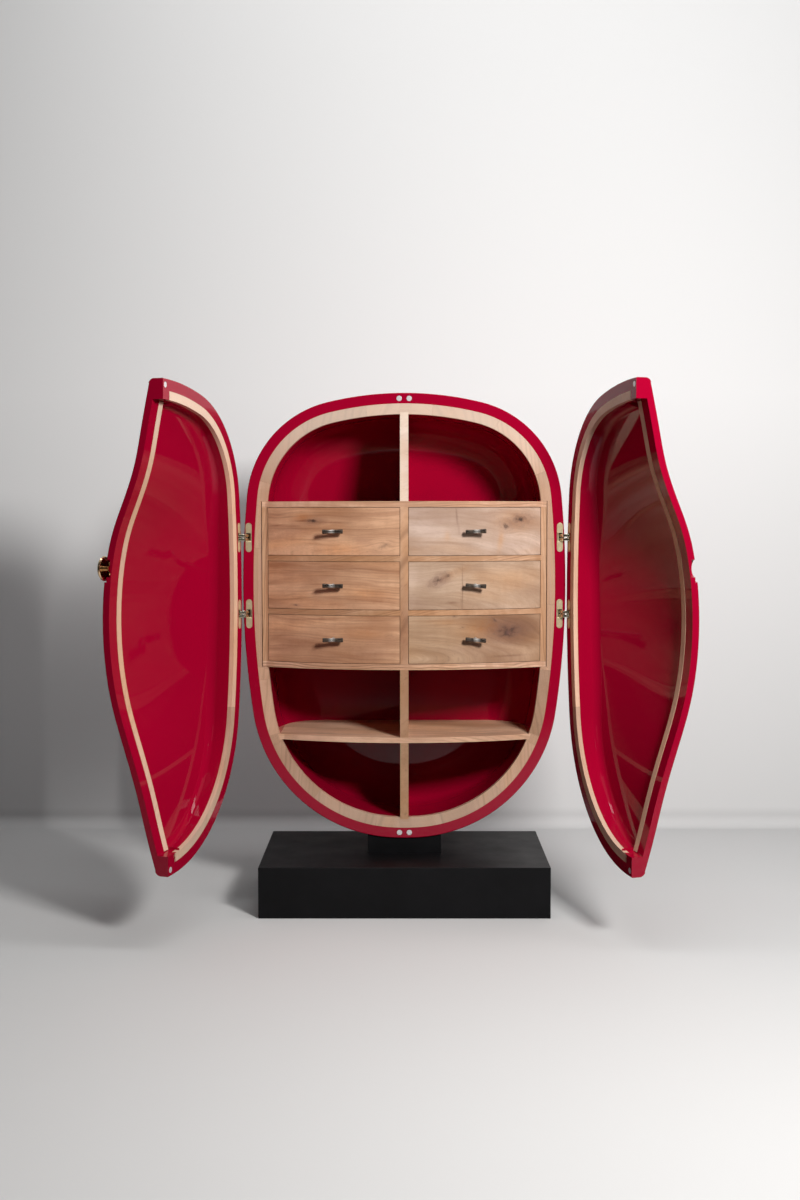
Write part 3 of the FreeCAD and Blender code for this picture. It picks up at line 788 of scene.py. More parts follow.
# tool between two x places, from the dome at one lift up to another or to the open side
def bandTool(x0, x1, lift, top=None, rows=150, columns=6):
    loops = []
    for i in range(rows + 1):
        low = []
        high = []
        for j in range(columns + 1):
            x = x0 + (x1 - x0) * j / columns
            z0 = outlineZ(ringInset, x, -1)
            z = z0 + (outlineZ(ringInset, x, 1) - z0) * i / rows
            low.append((x, domeY(x, z, lift), z))
            high.append((x, past if top is None else domeY(x, z, top), z))
        loops.append(low + high[::-1])
    return skinObject("bandTool", loops)


def ringPocketTool():
    loops = []
    outer = cabinet["redRim"]
    inner = ringInset + door["ringPlay"]
    floor = -door["gap"] - door["ringDepth"]
    for p in halfOutline(door["step"]):
        if insetPoint(p, outer)[0] > cornerX:
            continue
        loop = []
        for inset, y in ((outer, past), (outer, floor), (inner, floor), (inner, past)):
            x, z = insetPoint(p, inset)
            loop.append((min(x, cornerX), y, z))
        loops.append(loop)
    return skinObject("ringPocketTool", loops)


knob = {"z": 1.078, "radius": 0.0355, "thickness": 0.008, "rim": 0.005, "dish": 0.003, "proud": 0.001,
        "clearance": 0.004, "seat": 0.003, "notch": 0.025, "notchDepth": 0.015, "outside": 0.03}


def buildDoorMesh():
    blank = doorBlank()
    face = domeY(0.0, knob["z"], 0.0)
    outside = face - knob["outside"]
    stripLift = door["flange"] - door["stripDepth"]
    tools = [
        hollowTool(),
        bandTool(stripX - door["overlap"], past, door["flange"]),
        bandTool(stripX - widePlay, bandX + widePlay, stripLift, door["stripTop"]),
        ringPocketTool(),
        roundTool(0.0, knob["z"], knob["radius"] + knob["clearance"], outside, face + knob["seat"]),
        roundTool(0.0, knob["z"], knob["notch"], outside, face + knob["notchDepth"] + widePlay),
    ]
    return carve(blank, tools + magnetTools(-1, -1) + hingeTools(-1, -1))


def swing(side, share=1.0):
    pivot = Vector((side * hinge["axisX"], hinge["axisY"], 0))
    turn = Matrix.Rotation(radians(door["angles"][side] * share), 4, "Z")
    return Matrix.Translation(pivot) @ turn @ Matrix.Translation(-pivot)


# mesh of a left-hand piece, copied for one side and swung open
def hangOn(mesh, name, side, share=1.0):
    copy = mesh.copy()
    if side > 0:
        copy.transform(Matrix.Scale(-1, 4, (1, 0, 0)))
        copy.flip_normals()
    copy.transform(swing(side, share))
    copy.name = name
    return newObject(name, copy)


sideNames = {-1: "left", 1: "right"}
buildShell()
print("carcass shell built")
shut = buildDoorMesh()
for side, word in sideNames.items():
    leaf = hangOn(shut.data, "door" + word.capitalize() + "Shell", side)
    finishPiece(leaf, "door_" + word, lacquer, ["door_%s_shell" % word])
bpy.data.objects.remove(shut)
print("door shells built")


# node trees for shapes: timber laid along a path, and small parts on points
def newTree(name, inputs):
    tree = bpy.data.node_groups.new(name, "GeometryNodeTree")
    tree.interface.new_socket("Geometry", in_out="INPUT", socket_type="NodeSocketGeometry")
    for label, kind in inputs:
        tree.interface.new_socket(label, in_out="INPUT", socket_type="NodeSocket" + kind)
    tree.interface.new_socket("Geometry", in_out="OUTPUT", socket_type="NodeSocketGeometry")
    return tree, tree.nodes.new("NodeGroupInput").outputs, tree.nodes.new("NodeGroupOutput")


# the last two nodes of each tree
def endTree(tree, given, end, geometry):
    real = put(tree, "GeometryNodeRealizeInstances", {0: geometry}).outputs[0]
    done = put(tree, "GeometryNodeSetMaterial", {"Geometry": real, "Material": given["Material"]}).outputs[0]
    tree.links.new(done, end.inputs[0])
    return tree


# runs a tree on an object and returns the plain mesh that it makes
def runTree(obj, tree, values):
    modifier = obj.modifiers.new("nodes", "NODES")
    modifier.node_group = tree
    for item in tree.interface.items_tree:
        if item.item_type == "SOCKET" and item.in_out == "INPUT" and item.name in values:
            modifier[item.identifier] = values[item.name]
    mesh = plainCopy(obj)
    bpy.data.objects.remove(obj)
    return mesh


def shownOf(sockets, name="Value"):
    return [socket for socket in sockets if socket.enabled and socket.name == name][0]


def buildBoardTree():
    tree, given, end = newTree("boardAlongPath", [
        ("AlongUp", "Float"), ("Across", "Float"), ("Edge", "Float"), ("Up", "Vector"), ("Seed", "Int"),
        ("Material", "Material")])
    curve = put(tree, "GeometryNodeMeshToCurve", {0: given["Geometry"]}).outputs[0]
    curve = put(tree, "GeometryNodeSetCurveNormal", {"Curve": curve, "Normal": given["Up"]},
                mode="FREE").outputs[0]
    index = put(tree, "GeometryNodeInputIndex").outputs[0]
    pick = put(tree, "FunctionNodeRandomValue", {"Min": 0.0, "Max": 9.0, "ID": index, "Seed": given["Seed"]},
               data_type="FLOAT")
    tag = put(tree, "GeometryNodeStoreNamedAttribute",
              {"Geometry": curve, "Name": "block", "Value": shownOf(pick.outputs)},
              data_type="FLOAT", domain="CURVE").outputs[0]
    shape = put(tree, "GeometryNodeCurvePrimitiveQuadrilateral",
                {"Width": given["AlongUp"], "Height": given["Across"]}, mode="RECTANGLE").outputs[0]
    shape = put(tree, "GeometryNodeFilletCurve", {"Curve": shape, "Radius": given["Edge"], "Count": 2,
                                                  "Limit Radius": True}, mode="POLY").outputs[0]
    solid = put(tree, "GeometryNodeCurveToMesh", {"Curve": tag, "Profile Curve": shape, "Fill Caps": True})
    return endTree(tree, given, end, solid.outputs[0])


def buildDotTree():
    tree, given, end = newTree("partsOnPoints", [
        ("Part", "Object"), ("Turn", "Vector"), ("Spin", "Float"), ("Seed", "Int"), ("Material", "Material")])
    part = put(tree, "GeometryNodeObjectInfo", {"Object": given["Part"]}).outputs["Geometry"]
    spin = put(tree, "FunctionNodeRandomValue", {"Seed": given["Seed"]}, data_type="FLOAT")
    shownOf(spin.inputs, "Min").default_value = 0.0
    tree.links.new(given["Spin"], shownOf(spin.inputs, "Max"))
    own = put(tree, "ShaderNodeCombineXYZ", {1: shownOf(spin.outputs)}).outputs[0]
    points = put(tree, "GeometryNodeMeshToPoints", {0: given["Geometry"]}).outputs[0]
    placed = put(tree, "GeometryNodeInstanceOnPoints", {"Points": points, "Instance": part, "Rotation": own})
    placed = put(tree, "GeometryNodeRotateInstances",
                 {"Instances": placed.outputs[0], "Rotation": given["Turn"], "Local Space": True})
    return endTree(tree, given, end, placed.outputs[0])


boardTree = buildBoardTree()
dotTree = buildDotTree()


# paths as one mesh of separate runs of edges
def pathObject(runs):
    points = []
    edges = []
    for run in runs:
        first = len(points)
        points += run
        edges += [(first + i, first + i + 1) for i in range(len(run) - 1)]
    mesh = bpy.data.meshes.new("path")
    mesh.from_pydata(points, edges, [])
    return newObject("path", mesh)


# cuts a line of points into blocks of about the given length, with a fine joint between them
def cutIntoBlocks(points, length, joint):
    steps = [0.0]
    for a, b in zip(points, points[1:]):
        steps.append(steps[-1] + (Vector(b) - Vector(a)).length)
    total = steps[-1]
    count = max(1, round(total / length))

    def at(distance):
        k = 0
        while k < len(steps) - 2 and steps[k + 1] < distance:
            k += 1
        share = (distance - steps[k]) / max(steps[k + 1] - steps[k], 1e-9)
        return Vector(points[k]).lerp(Vector(points[k + 1]), share)
    runs = []
    for n in range(count):
        d0 = total * n / count + joint / 2
        d1 = total * (n + 1) / count - joint / 2
        inside = [Vector(points[k]) for k in range(len(points)) if d0 + 1e-4 < steps[k] < d1 - 1e-4]
        runs.append([tuple(v) for v in [at(d0)] + inside + [at(d1)]])
    return runs


rings = {"blockLength": 0.21, "doorBlockLength": 0.62, "joint": 0.0004, "edge": 0.0003, "caseGap": 0.0024,
         "firstJoint": 8, "stripRows": 120}
ringTimber = timberMaterial("ringTimber", "ring", 0.0, 90, blocks=True, Figure=0.65, Rings=0.45, Away=0.3)
doorTimber = timberMaterial("doorTimber", "door", 5.0, 90, blocks=True, Figure=0.4, Rings=0.25, Away=0.3)


def boardMesh(runs, alongUp, across, up, seed, timber):
    return runTree(pathObject(runs), boardTree, {"AlongUp": alongUp, "Across": across, "Edge": rings["edge"],
                                                 "Up": up, "Seed": seed, "Material": timber})


def buildRing():
    line = wholeOutline(halfOutline(carcass["step"]), cabinet["redRim"] + cabinet["ring"] / 2,
                        cabinet["ringDepth"] / 2, True)
    first = rings["firstJoint"]
    runs = cutIntoBlocks(line[first:] + line[1:first + 1], rings["blockLength"], rings["joint"])
    mesh = boardMesh(runs, cabinet["ringDepth"], cabinet["ring"], (0, 1, 0), 9, ringTimber)
    ring = newObject("timberRing", mesh)
    half = cabinet["caseHalf"] + rings["caseGap"]
    case = boxTool(-half, half, -farPast, farPast, cabinet["caseLow"] - widePlay,
                   cabinet["caseHigh"] + widePlay)
    carve(ring, [case] + [nodeTool(name) for name in ("divider_upper", "divider_lower", "shelf")])
    finishPiece(ring, "carcass", ringTimber, ["timber_ring"])


def buildDoorTimber():
    middle = cabinet["redRim"] + door["ringWidth"] / 2
    stop = cornerX - widePlay
    y = -door["gap"] - door["ringDepth"] / 2
    line = [(x, y, z) for x, z in (insetPoint(p, middle) for p in halfOutline(door["step"])) if x <= stop]
    line = [(stop, y, outlineZ(middle, stop, -1))] + line + [(stop, y, outlineZ(middle, stop, 1))]
    ring = boardMesh(cutIntoBlocks(line, rings["doorBlockLength"], rings["joint"]), door["ringDepth"],
                     door["ringWidth"], (0, 1, 0), 7, doorTimber)
    x = bandX - door["strip"] / 2
    inset = ringInset + door["ringPlay"]
    lift = door["flange"] - door["stripDepth"] / 2
    z0 = outlineZ(inset, x, -1)
    z1 = outlineZ(inset, x, 1)
    rows = rings["stripRows"]
    line = [(x, domeY(x, z, lift), z) for z in (z0 + (z1 - z0) * i / rows for i in range(rows + 1))]
    strip = boardMesh([line], door["strip"] - rings["joint"], door["stripDepth"], (1, 0, 0), 3, doorTimber)
    for side, word in sideNames.items():
        for mesh, kind in ((ring, "ring"), (strip, "strip")):
            piece = hangOn(mesh, "door" + word.capitalize() + kind.capitalize(), side)
            finishPiece(piece, "door_" + word, doorTimber, ["door_%s_%s" % (word, kind)])


buildRing()
buildDoorTimber()
print("timber rings and strips built")


# small metal parts
def discProfile(radius, y0, y1, bevel):
    edge = [(radius * 0.2, 0.0), (radius - bevel, 0.0), (radius - bevel * 0.3, bevel * 0.3), (radius, bevel)]
    return [(r, y0 + deep) for r, deep in edge] + [(r, y1 - deep) for r, deep in reversed(edge)]


# profile of a pin or barrel, mirrored about its middle
def mirroredProfile(half, middle=()):
    return [*half, *middle] + [(radius, -y) for radius, y in reversed(half)]


def meshFrom(bm, name):
    mesh = bpy.data.meshes.new(name)
    bm.to_mesh(mesh)
    bm.free()
    return mesh


# copies of a part at (x, z) places: on the carcass if side is 0, or else on a door, turned and swung with it
def placeParts(name, part, places, side, material, replaced=(), spin=0.0, seed=1, degrees=34):
    mesh = bpy.data.meshes.new("points")
    mesh.from_pydata([(x, -door["gap"] if side else 0.0, z) for x, z in places], [], [])
    mesh = runTree(newObject("points", mesh), dotTree, {
        "Part": part, "Turn": (0, 0, pi if side else 0.0), "Spin": spin, "Seed": seed,
        "Material": material})
    if side:
        mesh.transform(swing(side))
    body = "door_" + sideNames[side] if side else "carcass"
    finishPiece(newObject(name, mesh), body, material, replaced, degrees)


def buildMagnets():
    disc = newObject("magnetDisc", lathe("magnetDisc", discProfile(
        magnets["radius"], play, magnets["thickness"], magnets["bevel"]), 40))
    for side in (0, -1, 1):
        places = [(s * magnets["side"], z) for s in ((side,) if side else (-1, 1)) for z in magnetHeights]
        name = "magnetsDoor" + sideNames[side].capitalize() if side else "magnetsCarcass"
        node = "door_%s_magnets" % sideNames[side] if side else "rim_magnets"
        placeParts(name, disc, places, side, metal["magnetNickel"], [node], 3.0, 2)
    bpy.data.objects.remove(disc)


# obround leaf with a rounded edge and an opening for the links, whose lower edge is bevelled
def leafPart():
    radius = hinge["width"] / 2
    e = hinge["edge"]
    profile = ((radius * 0.3, 0.0), (e, 0.0), (e * 0.3, e * 0.3), (0.0, e), (0.0, hinge["thickness"]),
               (radius * 0.3, hinge["thickness"]))
    plate = skinObject("plate", [obround(radius - inset, y, 16) for inset, y in profile])
    gap = radius - hinge["wall"]
    high = hinge["open"]
    lip = hinge["lip"]
    section = ((-past, -high), (play, -high), (play + lip, lip - high), (past, lip - high), (past, high),
               (-past, high))
    carve(plate, [skinObject("openingTool", [[(x, y, z) for y, z in section] for x in (-gap, gap)])])
    plate.data.materials.append(metal["brass"])
    return plate


# open box behind a leaf, and its barrel; the link leaves it through the outward side
def cupPart(outward):
    low = hinge["thickness"] + 0.00005
    wide = hinge["cup"]
    tall = hinge["cupHeight"] / 2
    inner = wide - hinge["cupWall"]
    high = hinge["open"]
    cup = boxTool(-wide, wide, low, hinge["cupDepth"], -tall, tall)
    carve(cup, [boxTool(-inner, inner, -past, hinge["cupDepth"] - hinge["cupFloor"], -high, high),
                boxTool(*sorted((0.0, outward * (wide + past))), low + play, hinge["sideOpen"],
                        -high + widePlay, high - widePlay)])
    # the cup's near-black finish is painted shade
    cup.data.materials.append(metal["cupBrassPaintedShade"])
    r = hinge["barrel"]
    half = [(0.0008, -high), (r, -high), (r, -hinge["groove"])]
    barrel = lathe("barrel", mirroredProfile(half, [(r * 0.84, 0.0)]), 28)
    x, y = hinge["barrelAt"]
    barrel.transform(Matrix.Translation((-outward * x, y, 0)) @ Matrix.Rotation(pi / 2, 4, "X"))
    barrel.materials.append(metal["brass"])
    return cup, newObject("barrel", barrel)


# place at a distance from the axis of the left hinge
def aroundHinge(radius, degrees, z):
    a = radians(degrees)
    return radius * cos(a) - hinge["axisX"], radius * sin(a) + hinge["axisY"], z


# two arched bars with rounded edges and the pins between them, about the axis of the left hinge
def linkMesh(steps=40):
    half = hinge["linkWidth"] / 2
    tall = hinge["barHeight"] / 2
    r = hinge["round"]
    section = []
    for cx, cz, start in ((1, 1, 0), (-1, 1, 90), (-1, -1, 180), (1, -1, 270)):
        for k in range(5):
            a = radians(start + 90 * k / 4)
            section.append((cx * (half - r) + r * cos(a), cz * (tall - r) + r * sin(a)))
    bm = bmesh.new()
    for sign in (-1, 1):
        centre = sign * (hinge["barHeight"] + hinge["barGap"]) / 2
        loops = []
        for k in range(steps + 1):
            degrees = -hinge["sweep"] + 2 * hinge["sweep"] * k / steps
            middle = linkRadius(degrees) + half
            loops.append([aroundHinge(middle + out, degrees, centre + z) for out, z in section])
        bm.from_mesh(skinMesh("bar", loops))
    for degrees in hinge["pins"]:
        pin = lathe("pin", mirroredProfile([(0.0004, -0.0109), (0.0011, -0.0107), (0.0014, -0.0102)]), 20)
        pin.transform(Matrix.Translation(aroundHinge(linkRadius(degrees) + half, degrees, 0))
                      @ Matrix.Rotation(pi / 2, 4, "X"))
        bm.from_mesh(pin)
    return meshFrom(bm, "hingeLink")


def buildHinges():
    plate = leafPart()
    cups = {outward: cupPart(outward) for outward in (-1, 1)}
    link = linkMesh()
    for side, word in sideNames.items():
        places = [(side * leafX, z) for z in cabinet["hingeHeights"]]
        for where in (0, side):
            cup, barrel = cups[-side if where else side]
            place = word.capitalize() + ("Door" if where else "Carcass")
            node = "door_%s_leaves" % word if where else "carcass_leaves_" + word
            for title, part, finish in (("hingeLeaves", plate, "brass"), ("hingeCups", cup, "cupBrassPaintedShade"),
                                        ("hingeBarrels", barrel, "brass")):
                placeParts(title + place, part, places, where, metal[finish], [node])
        both = bmesh.new()
        for z in cabinet["hingeHeights"]:
            lifted = link.copy()
            lifted.transform(Matrix.Translation((0, 0, z)))
            both.from_mesh(lifted)
        piece = hangOn(meshFrom(both, "links"), "hingeLinks" + word.capitalize(), side, 0.5)
        finishPiece(piece, "hinge_links_" + word, metal["linkBrass"], ["hinge_links_" + word])
    for obj in [plate] + [part for pair in cups.values() for part in pair]:
        bpy.data.objects.remove(obj)


screws = {"radius": 0.0036, "foot": 0.002, "rise": 0.0004, "slot": 0.0009, "slotDepth": 0.0006,
          "spread": 0.0345}


def buildScrews():
    r = screws["radius"]
    rise = screws["rise"]
    head = newObject("screwHead", lathe("screwHead", [
        (0.0006, screws["foot"]), (r, screws["foot"]), (r, 0.0002), (r * 0.86, -0.0001), (r * 0.5, -rise),
        (0.0006, -rise * 1.1)], 28))
    carve(head, [boxTool(-past, past, -past, -rise * 0.1 + screws["slotDepth"], -screws["slot"] / 2,
                         screws["slot"] / 2)])
    for side, word in sideNames.items():
        places = [(side * leafX, z + s * screws["spread"]) for z in cabinet["hingeHeights"] for s in (-1, 1)]
        for where in (0, side):
            placeParts("screws" + word.capitalize() + ("Door" if where else "Carcass"), head, places, where,
                       metal["brass"], (), 3.0, 5 + side, 30)
    bpy.data.objects.remove(head)


# a round disc with a raised lip and a dish, whose back is towards the door
def buildKnob():
    back = domeY(0.0, knob["z"], 0.0) + knob["seat"] - knob["proud"]
    front = back - knob["thickness"]
    floor = back - knob["dish"]
    r = knob["radius"]
    inner = r - knob["rim"]
    mesh = lathe("doorKnob", [
        (0.002, front), (r - 0.006, front), (r - 0.0025, front + 0.0008), (r - 0.0006, front + 0.0026),
        (r, front + 0.0045), (r - 0.0008, back - 0.0012), (r - 0.0022, back), (inner + 0.0008, back),
        (inner, back - 0.0008), (inner - 0.001, floor + 0.0008), (inner - 0.002, floor), (0.002, floor)], 72)
    mesh.transform(Matrix.Translation((0, 0, knob["z"])))
    mesh.transform(swing(-1))
    finishPiece(newObject("doorKnob", mesh), "door_left", metal["polishedBrass"], ["knob_disc"])


# the fronts' bow, and the pulls that stand on it; orbit is how far their centres are from the bow's centre
bow = {"half": 0.43302, "rise": 0.097, "recess": 0.001}
bowRadius = (bow["half"] ** 2 + bow["rise"] ** 2) / (2 * bow["rise"])
pull = {"length": 0.063, "radius": 0.0070, "waist": 0.0058, "chamfer": 0.0007, "standoff": 0.027,
        "stem": 0.0045, "boss": 0.0064, "orbit": 1.04238,
        "tilts": {"left": (0.0, 1.2, -0.8), "right": (3.5, 2.5, -3.0)}}


# a waisted bar that lies along X, tilted a little as it was screwed on
def pullBar(tilt, steps=24):
    half = pull["length"] / 2
    bar = []
    for k in range(steps + 1):
        t = -1 + 2 * k / steps
        r = pull["waist"] + (pull["radius"] - pull["waist"]) * min(1.0, abs(t) * 1.25) ** 2
        bar.append((r - pull["chamfer"] if abs(t) > 0.97 else r, half * t))
    mesh = lathe("bar", [(0.001, -half)] + bar + [(0.001, half)], 40)
    mesh.transform(Matrix.Rotation(radians(tilt), 4, "Y") @ Matrix.Rotation(pi / 2, 4, "Z"))
    mesh.transform(Matrix.Translation((0, -pull["standoff"], 0)))
    return mesh


def pullStem():
    r = pull["stem"]
    boss = pull["boss"]
    return lathe("stem", [(0.001, 0.005), (boss, 0.005), (boss, -0.0026), (r + 0.0004, -0.0036), (r, -0.006),
                          (r, -0.020), (r + 0.0004, -0.0235), (0.001, -pull["standoff"])], 32)


def buildPulls():
    for row in (1, 2, 3):
        for word in sideNames.values():
            node = "drawer_%s_%d_pull" % (word, row)
            low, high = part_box(node)
            centre = (low + high) / 2
            yaw = asin(centre.x / pull["orbit"])
            out = Vector((sin(yaw), -cos(yaw), 0))
            root = Vector((0, bowRadius - bow["rise"], centre.z)) + out * (bowRadius - bow["recess"])
            bm = bmesh.new()
            for mesh in (pullBar(pull["tilts"][word][row - 1]), pullStem()):
                bm.from_mesh(mesh)
            joined = meshFrom(bm, "pull")
            joined.transform(Matrix.Translation(root))
            piece = newObject("pull%s%d" % (word.capitalize(), row), joined)
            finishPiece(piece, "drawer_%s_%d" % (word, row), metal["darkBronze"], [node], 40)


buildMagnets()
buildHinges()
buildScrews()
buildKnob()
buildPulls()
print("magnets, hinges, screws, knob and pulls built")


# finishes of the solids that are right as they are
def dress(names, material):
    for name in names:
        nodes[name].data.materials.clear()
        nodes[name].data.materials.append(material)


# tints of the soft zones
dark = (0.58, 0.50, 0.48)
dusk = (0.74, 0.68, 0.70)
light = (1.22, 1.28, 1.36)
amber = (1.06, 0.86, 0.64)
plum = (0.62, 0.51, 0.55)

dress(["knob_stem"], metal["polishedBrass"])
dress(["plinth_case", "plinth_floor", "neck"], metal["blackSteel"])
dress(["shelf"], timberMaterial("shelfTimber", "shelf", 1.3, Figure=0.8, Rings=0.4, Away=0.06, Pith=0.5))
dress(["case_top", "case_bottom"],
      timberMaterial("caseTimberFlat", "shelf", 2.7, Figure=1.0, Rings=0.8, Away=0.03, Ripple=0.5))
partitionZones = [((0.0, 1.240), 0.080, 0.35, 0.0, 1.0, (1.30, 1.38, 1.50)),
                  ((0.0, 0.850), 0.130, 0.25, 0.0, 1.0, dusk)]
dress(["case_side_left", "case_side_right", "case_partition"],
      timberMaterial("caseTimberUpright", "case", 3.3, 90, partitionZones, Figure=0.7, Rings=0.5))
dress(["case_rail_%d_%s" % (r, s) for r in (1, 2) for s in sideNames.values()],
      timberMaterial("railTimber", "case", 4.9, 12, Figure=0.9, Rings=0.5, Away=0.05, Ripple=0.45))
dress(["case_back"], timberMaterial("backTimber", "case", 6.2, Figure=0.6))
dress(["divider_upper"], timberMaterial("upperDividerTimber", "light", 0.4, 90, Figure=0.9, Rings=0.5))
dress(["divider_middle"], timberMaterial("middleDividerTimber", "case", 7.4, 90, Figure=1.0, Rings=0.7,
                                         Pale=(0.62, 0.39, 0.265, 1)))
dress(["divider_lower"], timberMaterial("lowerDividerTimber", "case", 8.1, 90, Figure=0.7, Rings=0.5))
dress(["drawer_%s_%d_tray" % (s, r) for r in (1, 2, 3) for s in sideNames.values()],
      timberMaterial("trayTimber", "pale", 9.0, Figure=0.4))

# tone, offset, knots and zones as (x, z), size and so on, then the slice through the trunk, for each front
fronts = {
    ("left", 3): ("warm", 11.0, [
        ((-0.313, 1.222), 0.012, 2.2, 0.0, 0.9, amber), ((-0.313, 1.2115), 0.0032, 9.0, 0.04, 0.8, dark),
        ((-0.283, 1.211), 0.0080, 3.0, 0.0, 1.1), ((-0.285, 1.208), 0.010, 4.0, 0.0, 0.5, dark),
        ((-0.210, 1.206), 0.0028, 16.0, -0.02, 0.75, dark),
        ((-0.395, 1.197), 0.0026, 9.0, 0.08, 0.7, dark), ((-0.360, 1.170), 0.018, 4.5, 0.12, 0.85, dusk),
        ((-0.066, 1.132), 0.013, 1.9, 0.3, 0.38), ((-0.130, 1.150), 0.012, 3.0, -0.3, 0.6, dusk),
        ((-0.020, 1.248), 0.030, 3.0, -0.1, 0.9, light), ((-0.200, 1.122), 0.020, 3.5, 0.0, 0.7, amber)],
        {"Pith": 1.13, "Away": 0.035, "Taper": 0.16, "Rings": 0.30}),
    ("left", 2): ("warm", 12.6, [
        ((-0.336, 0.950), 0.0030, 4.5, -0.1, 1.0), ((-0.250, 0.948), 0.014, 12.0, -0.02, 0.75, light),
        ((-0.090, 0.965), 0.0040, 22.0, -0.05, 0.6, dark), ((-0.330, 1.045), 0.030, 3.5, -0.15, 0.6, dusk),
        ((-0.110, 0.985), 0.022, 3.5, -0.1, 0.6, amber), ((-0.190, 1.060), 0.0030, 20.0, -0.12, 0.4, dark)],
        {"Pith": 0.80, "Away": 0.10, "Taper": 0.30, "Rings": 0.28}),
    ("left", 1): ("warm", 14.2, [
        ((-0.040, 0.858), 0.010, 1.4, 0.0, 0.3), ((-0.260, 0.908), 0.0034, 26.0, 0.03, 0.8, dark),
        ((-0.330, 0.830), 0.026, 4.0, 0.1, 0.6, dusk), ((-0.130, 0.800), 0.020, 5.0, 0.0, 0.5, dusk),
        ((-0.130, 0.865), 0.020, 4.0, 0.0, 0.5, amber)],
        {"Pith": 1.00, "Away": 0.05, "Taper": 0.22, "Rings": 0.26}),
    # right fronts darken downwards by tone: partly their own timber, partly painted shade where the light
    # falls off
    ("right", 3): ("pale", 15.1, [
        ((0.050, 1.170), 0.060, 1.2, 0.0, 0.7, light), ((0.298, 1.150), 0.026, 0.35, 1.5, 0.8, amber),
        ((0.345, 1.213), 0.034, 1.7, 0.0, 0.8, amber), ((0.358, 1.214), 0.019, 1.9, 0.1, 0.5, dusk),
        ((0.360, 1.215), 0.017, 1.9, 0.1, 1.15),
        ((0.314, 1.195), 0.016, 1.1, -0.4, 0.75), ((0.161, 1.225), 0.020, 0.16, -5.0, 0.8, dark),
        ((0.168, 1.185), 0.016, 0.20, -3.0, 0.5, dusk), ((0.132, 1.165), 0.014, 0.6, 0.0, 0.5, amber)],
        {"Pith": 1.10, "Away": 0.06, "Taper": 0.12, "Rings": 0.12}),
    ("right", 2): ("fawn", 16.9, [
        ((0.014, 1.000), 0.090, 0.30, 0.0, 0.8, light), ((0.200, 0.944), 0.009, 20.0, 0.0, 0.8, light),
        ((0.112, 1.030), 0.020, 1.7, 0.35, 0.6, dusk), ((0.1045, 1.028), 0.017, 1.4, 0.4, 1.15),
        ((0.135, 1.043), 0.009, 2.4, 0.45, 0.62),
        ((0.155, 1.052), 0.014, 3.5, 0.45, 0.5, amber), ((0.179, 1.000), 0.060, 0.026, -12.0, 0.95, dark),
        ((0.175, 0.962), 0.020, 0.06, -12.0, 0.8, dark), ((0.150, 0.9596), 0.0030, 6.0, 0.0, 0.8, dark),
        ((0.300, 1.020), 0.040, 2.5, 0.0, 0.45, amber)],
        {"Pith": 0.96, "Away": 0.05, "Taper": 0.10, "Rings": 0.14}),
    ("right", 1): ("tan", 18.3, [
        ((0.235, 0.880), 0.026, 2.4, 0.1, 0.9, amber), ((0.322, 0.872), 0.044, 1.9, 0.0, 1.0, plum),
        ((0.3207, 0.868), 0.032, 1.8, 0.0, 1.0), ((0.322, 0.864), 0.0045, 1.2, 0.0, 0.8, (1.7, 1.6, 1.75)),
        ((0.280, 0.904), 0.009, 2.2, -0.9, 0.6), ((0.1537, 0.9185), 0.006, 1.3, 0.0, 0.8),
        ((0.179, 0.883), 0.005, 1.6, 0.0, 0.55), ((0.090, 0.787), 0.010, 8.0, 0.0, 0.9, light),
        ((0.330, 0.792), 0.0030, 18.0, 0.02, 0.6, dark), ((0.130, 0.900), 0.012, 4.0, 0.0, 0.5, amber)],
        {"Pith": 0.82, "Away": 0.04, "Taper": 0.14, "Rings": 0.18}),
}
for (word, row), (tone, offset, knots, trunk) in fronts.items():
    name = "drawer_%s_%d_front" % (word, row)
    title = "frontTimber%s%d" % (word.capitalize(), row)
    dress([name], timberMaterial(title, tone, offset, 0, knots, Figure=1.0, **trunk))
print("timber finishes set")


# stage, lights and camera
stage = {"wallY": 1.08, "curve": 0.05, "width": 14.0, "front": -9.0, "height": 7.0, "roughness": 0.75,
         "floor": (0.64, 0.64, 0.64, 1), "floorBounce": (0.12, 0.12, 0.12, 1), "wall": (0.94, 0.94, 0.94, 1),
         "wallTopPaintedShade": (0.66, 0.66, 0.66, 1), "wallBounce": (0.55, 0.55, 0.55, 1)}


# floor and wall in one sweep, and a floor behind the wall for views from the back
def stageMesh():
    foot = stage["wallY"] - stage["curve"]
    line = [(stage["front"], 0.0), (foot, 0.0)]
    for a in quarterTurn(8)[1:]:
        line.append((stage["wallY"] - stage["curve"] * (1 - sin(a)), stage["curve"] * (1 - cos(a))))
    line.append((stage["wallY"], stage["height"]))
    sides = (-stage["width"] / 2, stage["width"] / 2)
    count = len(line)
    first = 2 * count
    points = [(x, y, z) for x in sides for y, z in line]
    points += [(x, y, -0.0005) for x in sides for y in (foot, -stage["front"])]
    faces = [(i, i + count, i + count + 1, i + 1) for i in range(count - 1)]
    mesh = bpy.data.meshes.new("backdrop")
    mesh.from_pydata(points, [], faces + [(first, first + 2, first + 3, first + 1)])
    mesh.polygons.foreach_set("use_smooth", [True] * len(mesh.polygons))
    return mesh


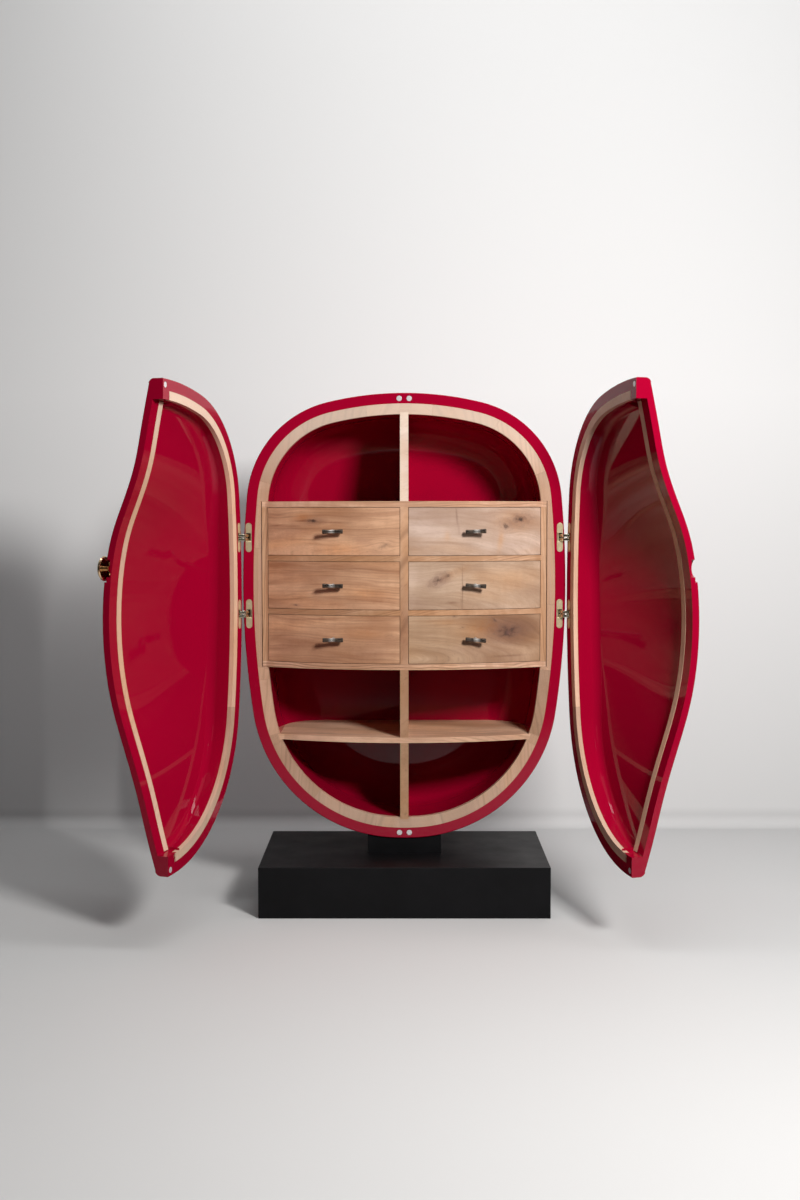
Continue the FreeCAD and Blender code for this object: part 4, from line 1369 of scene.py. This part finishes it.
# pale paper that sends back less light than it shows, and lets views and lamps through from behind
def paperMaterial():
    material, tree, shader, place = newMaterial("backdropPaper")
    height = parted(tree, place)[2]
    rays = tree.nodes.new("ShaderNodeLightPath").outputs
    seen = reckon(tree, "MAXIMUM", rays["Is Camera Ray"], rays["Is Glossy Ray"])
    seen = reckon(tree, "MAXIMUM", seen, rays["Is Transmission Ray"])
    ground = mixColour(tree, seen, stage["floorBounce"], stage["floor"])
    # painted shade: the wall's colour darkens from 1.7 m up to 3.3 m
    upright = mixColour(tree, mapRange(tree, height, 1.7, 3.3), stage["wall"], stage["wallTopPaintedShade"])
    upright = mixColour(tree, seen, stage["wallBounce"], upright)
    tone = mixColour(tree, mapRange(tree, height, 0.0, 0.08), ground, upright)
    setInputs(tree, shader, {"Base Color": tone, "Roughness": stage["roughness"]})
    backward = tree.nodes.new("ShaderNodeNewGeometry").outputs["Backfacing"]
    behind = reckon(tree, "MAXIMUM", backward, rays["Is Shadow Ray"])
    behind = reckon(tree, "MULTIPLY", behind, reckon(tree, "GREATER_THAN", height, 0.0001))
    clear = tree.nodes.new("ShaderNodeBsdfTransparent").outputs[0]
    mixed = put(tree, "ShaderNodeMixShader", {0: behind, 1: shader.outputs[0], 2: clear})
    tree.links.new(mixed.outputs[0], tree.nodes["Material Output"].inputs["Surface"])
    return material


def areaLight(name, place, target, size, power, colour=(1, 1, 1), unseen=None):
    light = bpy.data.lights.new(name, "AREA")
    light.shape = "RECTANGLE"
    light.size, light.size_y = size
    light.energy = power
    light.color = colour
    obj = newObject(name, light)
    obj.location = place
    obj.rotation_euler = (Vector(target) - Vector(place)).to_track_quat("-Z", "Y").to_euler()
    if unseen:
        setattr(obj, unseen, False)


backdrop = newObject("backdrop", stageMesh())
backdrop.data.materials.append(paperMaterial())

# the key's light and its shine come from one place, each at its own strength
keyPlace = (1.42, -2.75, 2.36)
lamps = {
    "keySoftbox": {"place": keyPlace, "target": (0, -0.1, 0.95), "size": (0.6, 0.6), "power": 118,
                   "colour": (1, 0.985, 0.965), "unseen": "visible_glossy"},
    "sheenSoftbox": {"place": keyPlace, "target": (0, -0.1, 0.95), "size": (0.6, 0.6), "power": 26,
                     "unseen": "visible_diffuse"},
    "fillSoftbox": {"place": (-1.6, -5.2, 2.9), "target": (0, 0, 0.9), "size": (1.6, 1.2), "power": 1.6},
    "topSoftbox": {"place": (0, -1.6, 5.0), "target": (0, -0.6, 0), "size": (4.0, 2.4), "power": 15},
    "wallWash": {"place": (0.9, -0.4, 4.6), "target": (1.1, 1.08, 2.0), "size": (4.6, 0.8), "power": 69},
}
for name, values in lamps.items():
    areaLight(name, **values)

world = bpy.data.worlds.new("studio")
scene.world = world
world.use_nodes = True
setInputs(world.node_tree, world.node_tree.nodes["Background"],
          {"Color": (0.80, 0.82, 0.85, 1), "Strength": 0.02})

camera = {"place": (-0.00036, -4.3644, 1.2284), "yaw": -0.17, "pitch": 3.48, "roll": -0.04, "lens": 41.859,
          "sensor": 36.0, "clip": 100.0}
cameraData = bpy.data.cameras.new("camera")
cameraData.lens = camera["lens"]
cameraData.sensor_width = camera["sensor"]
cameraData.clip_end = camera["clip"]
cameraObject = newObject("camera", cameraData)
cameraObject.location = camera["place"]
cameraObject.rotation_euler = (Matrix.Rotation(radians(-camera["yaw"]), 3, "Z")
                               @ Matrix.Rotation(radians(90 - camera["pitch"]), 3, "X")
                               @ Matrix.Rotation(radians(camera["roll"]), 3, "Z")).to_euler()
scene.camera = cameraObject
scene.view_settings.view_transform = "Standard"
print("stage, lights and camera set")
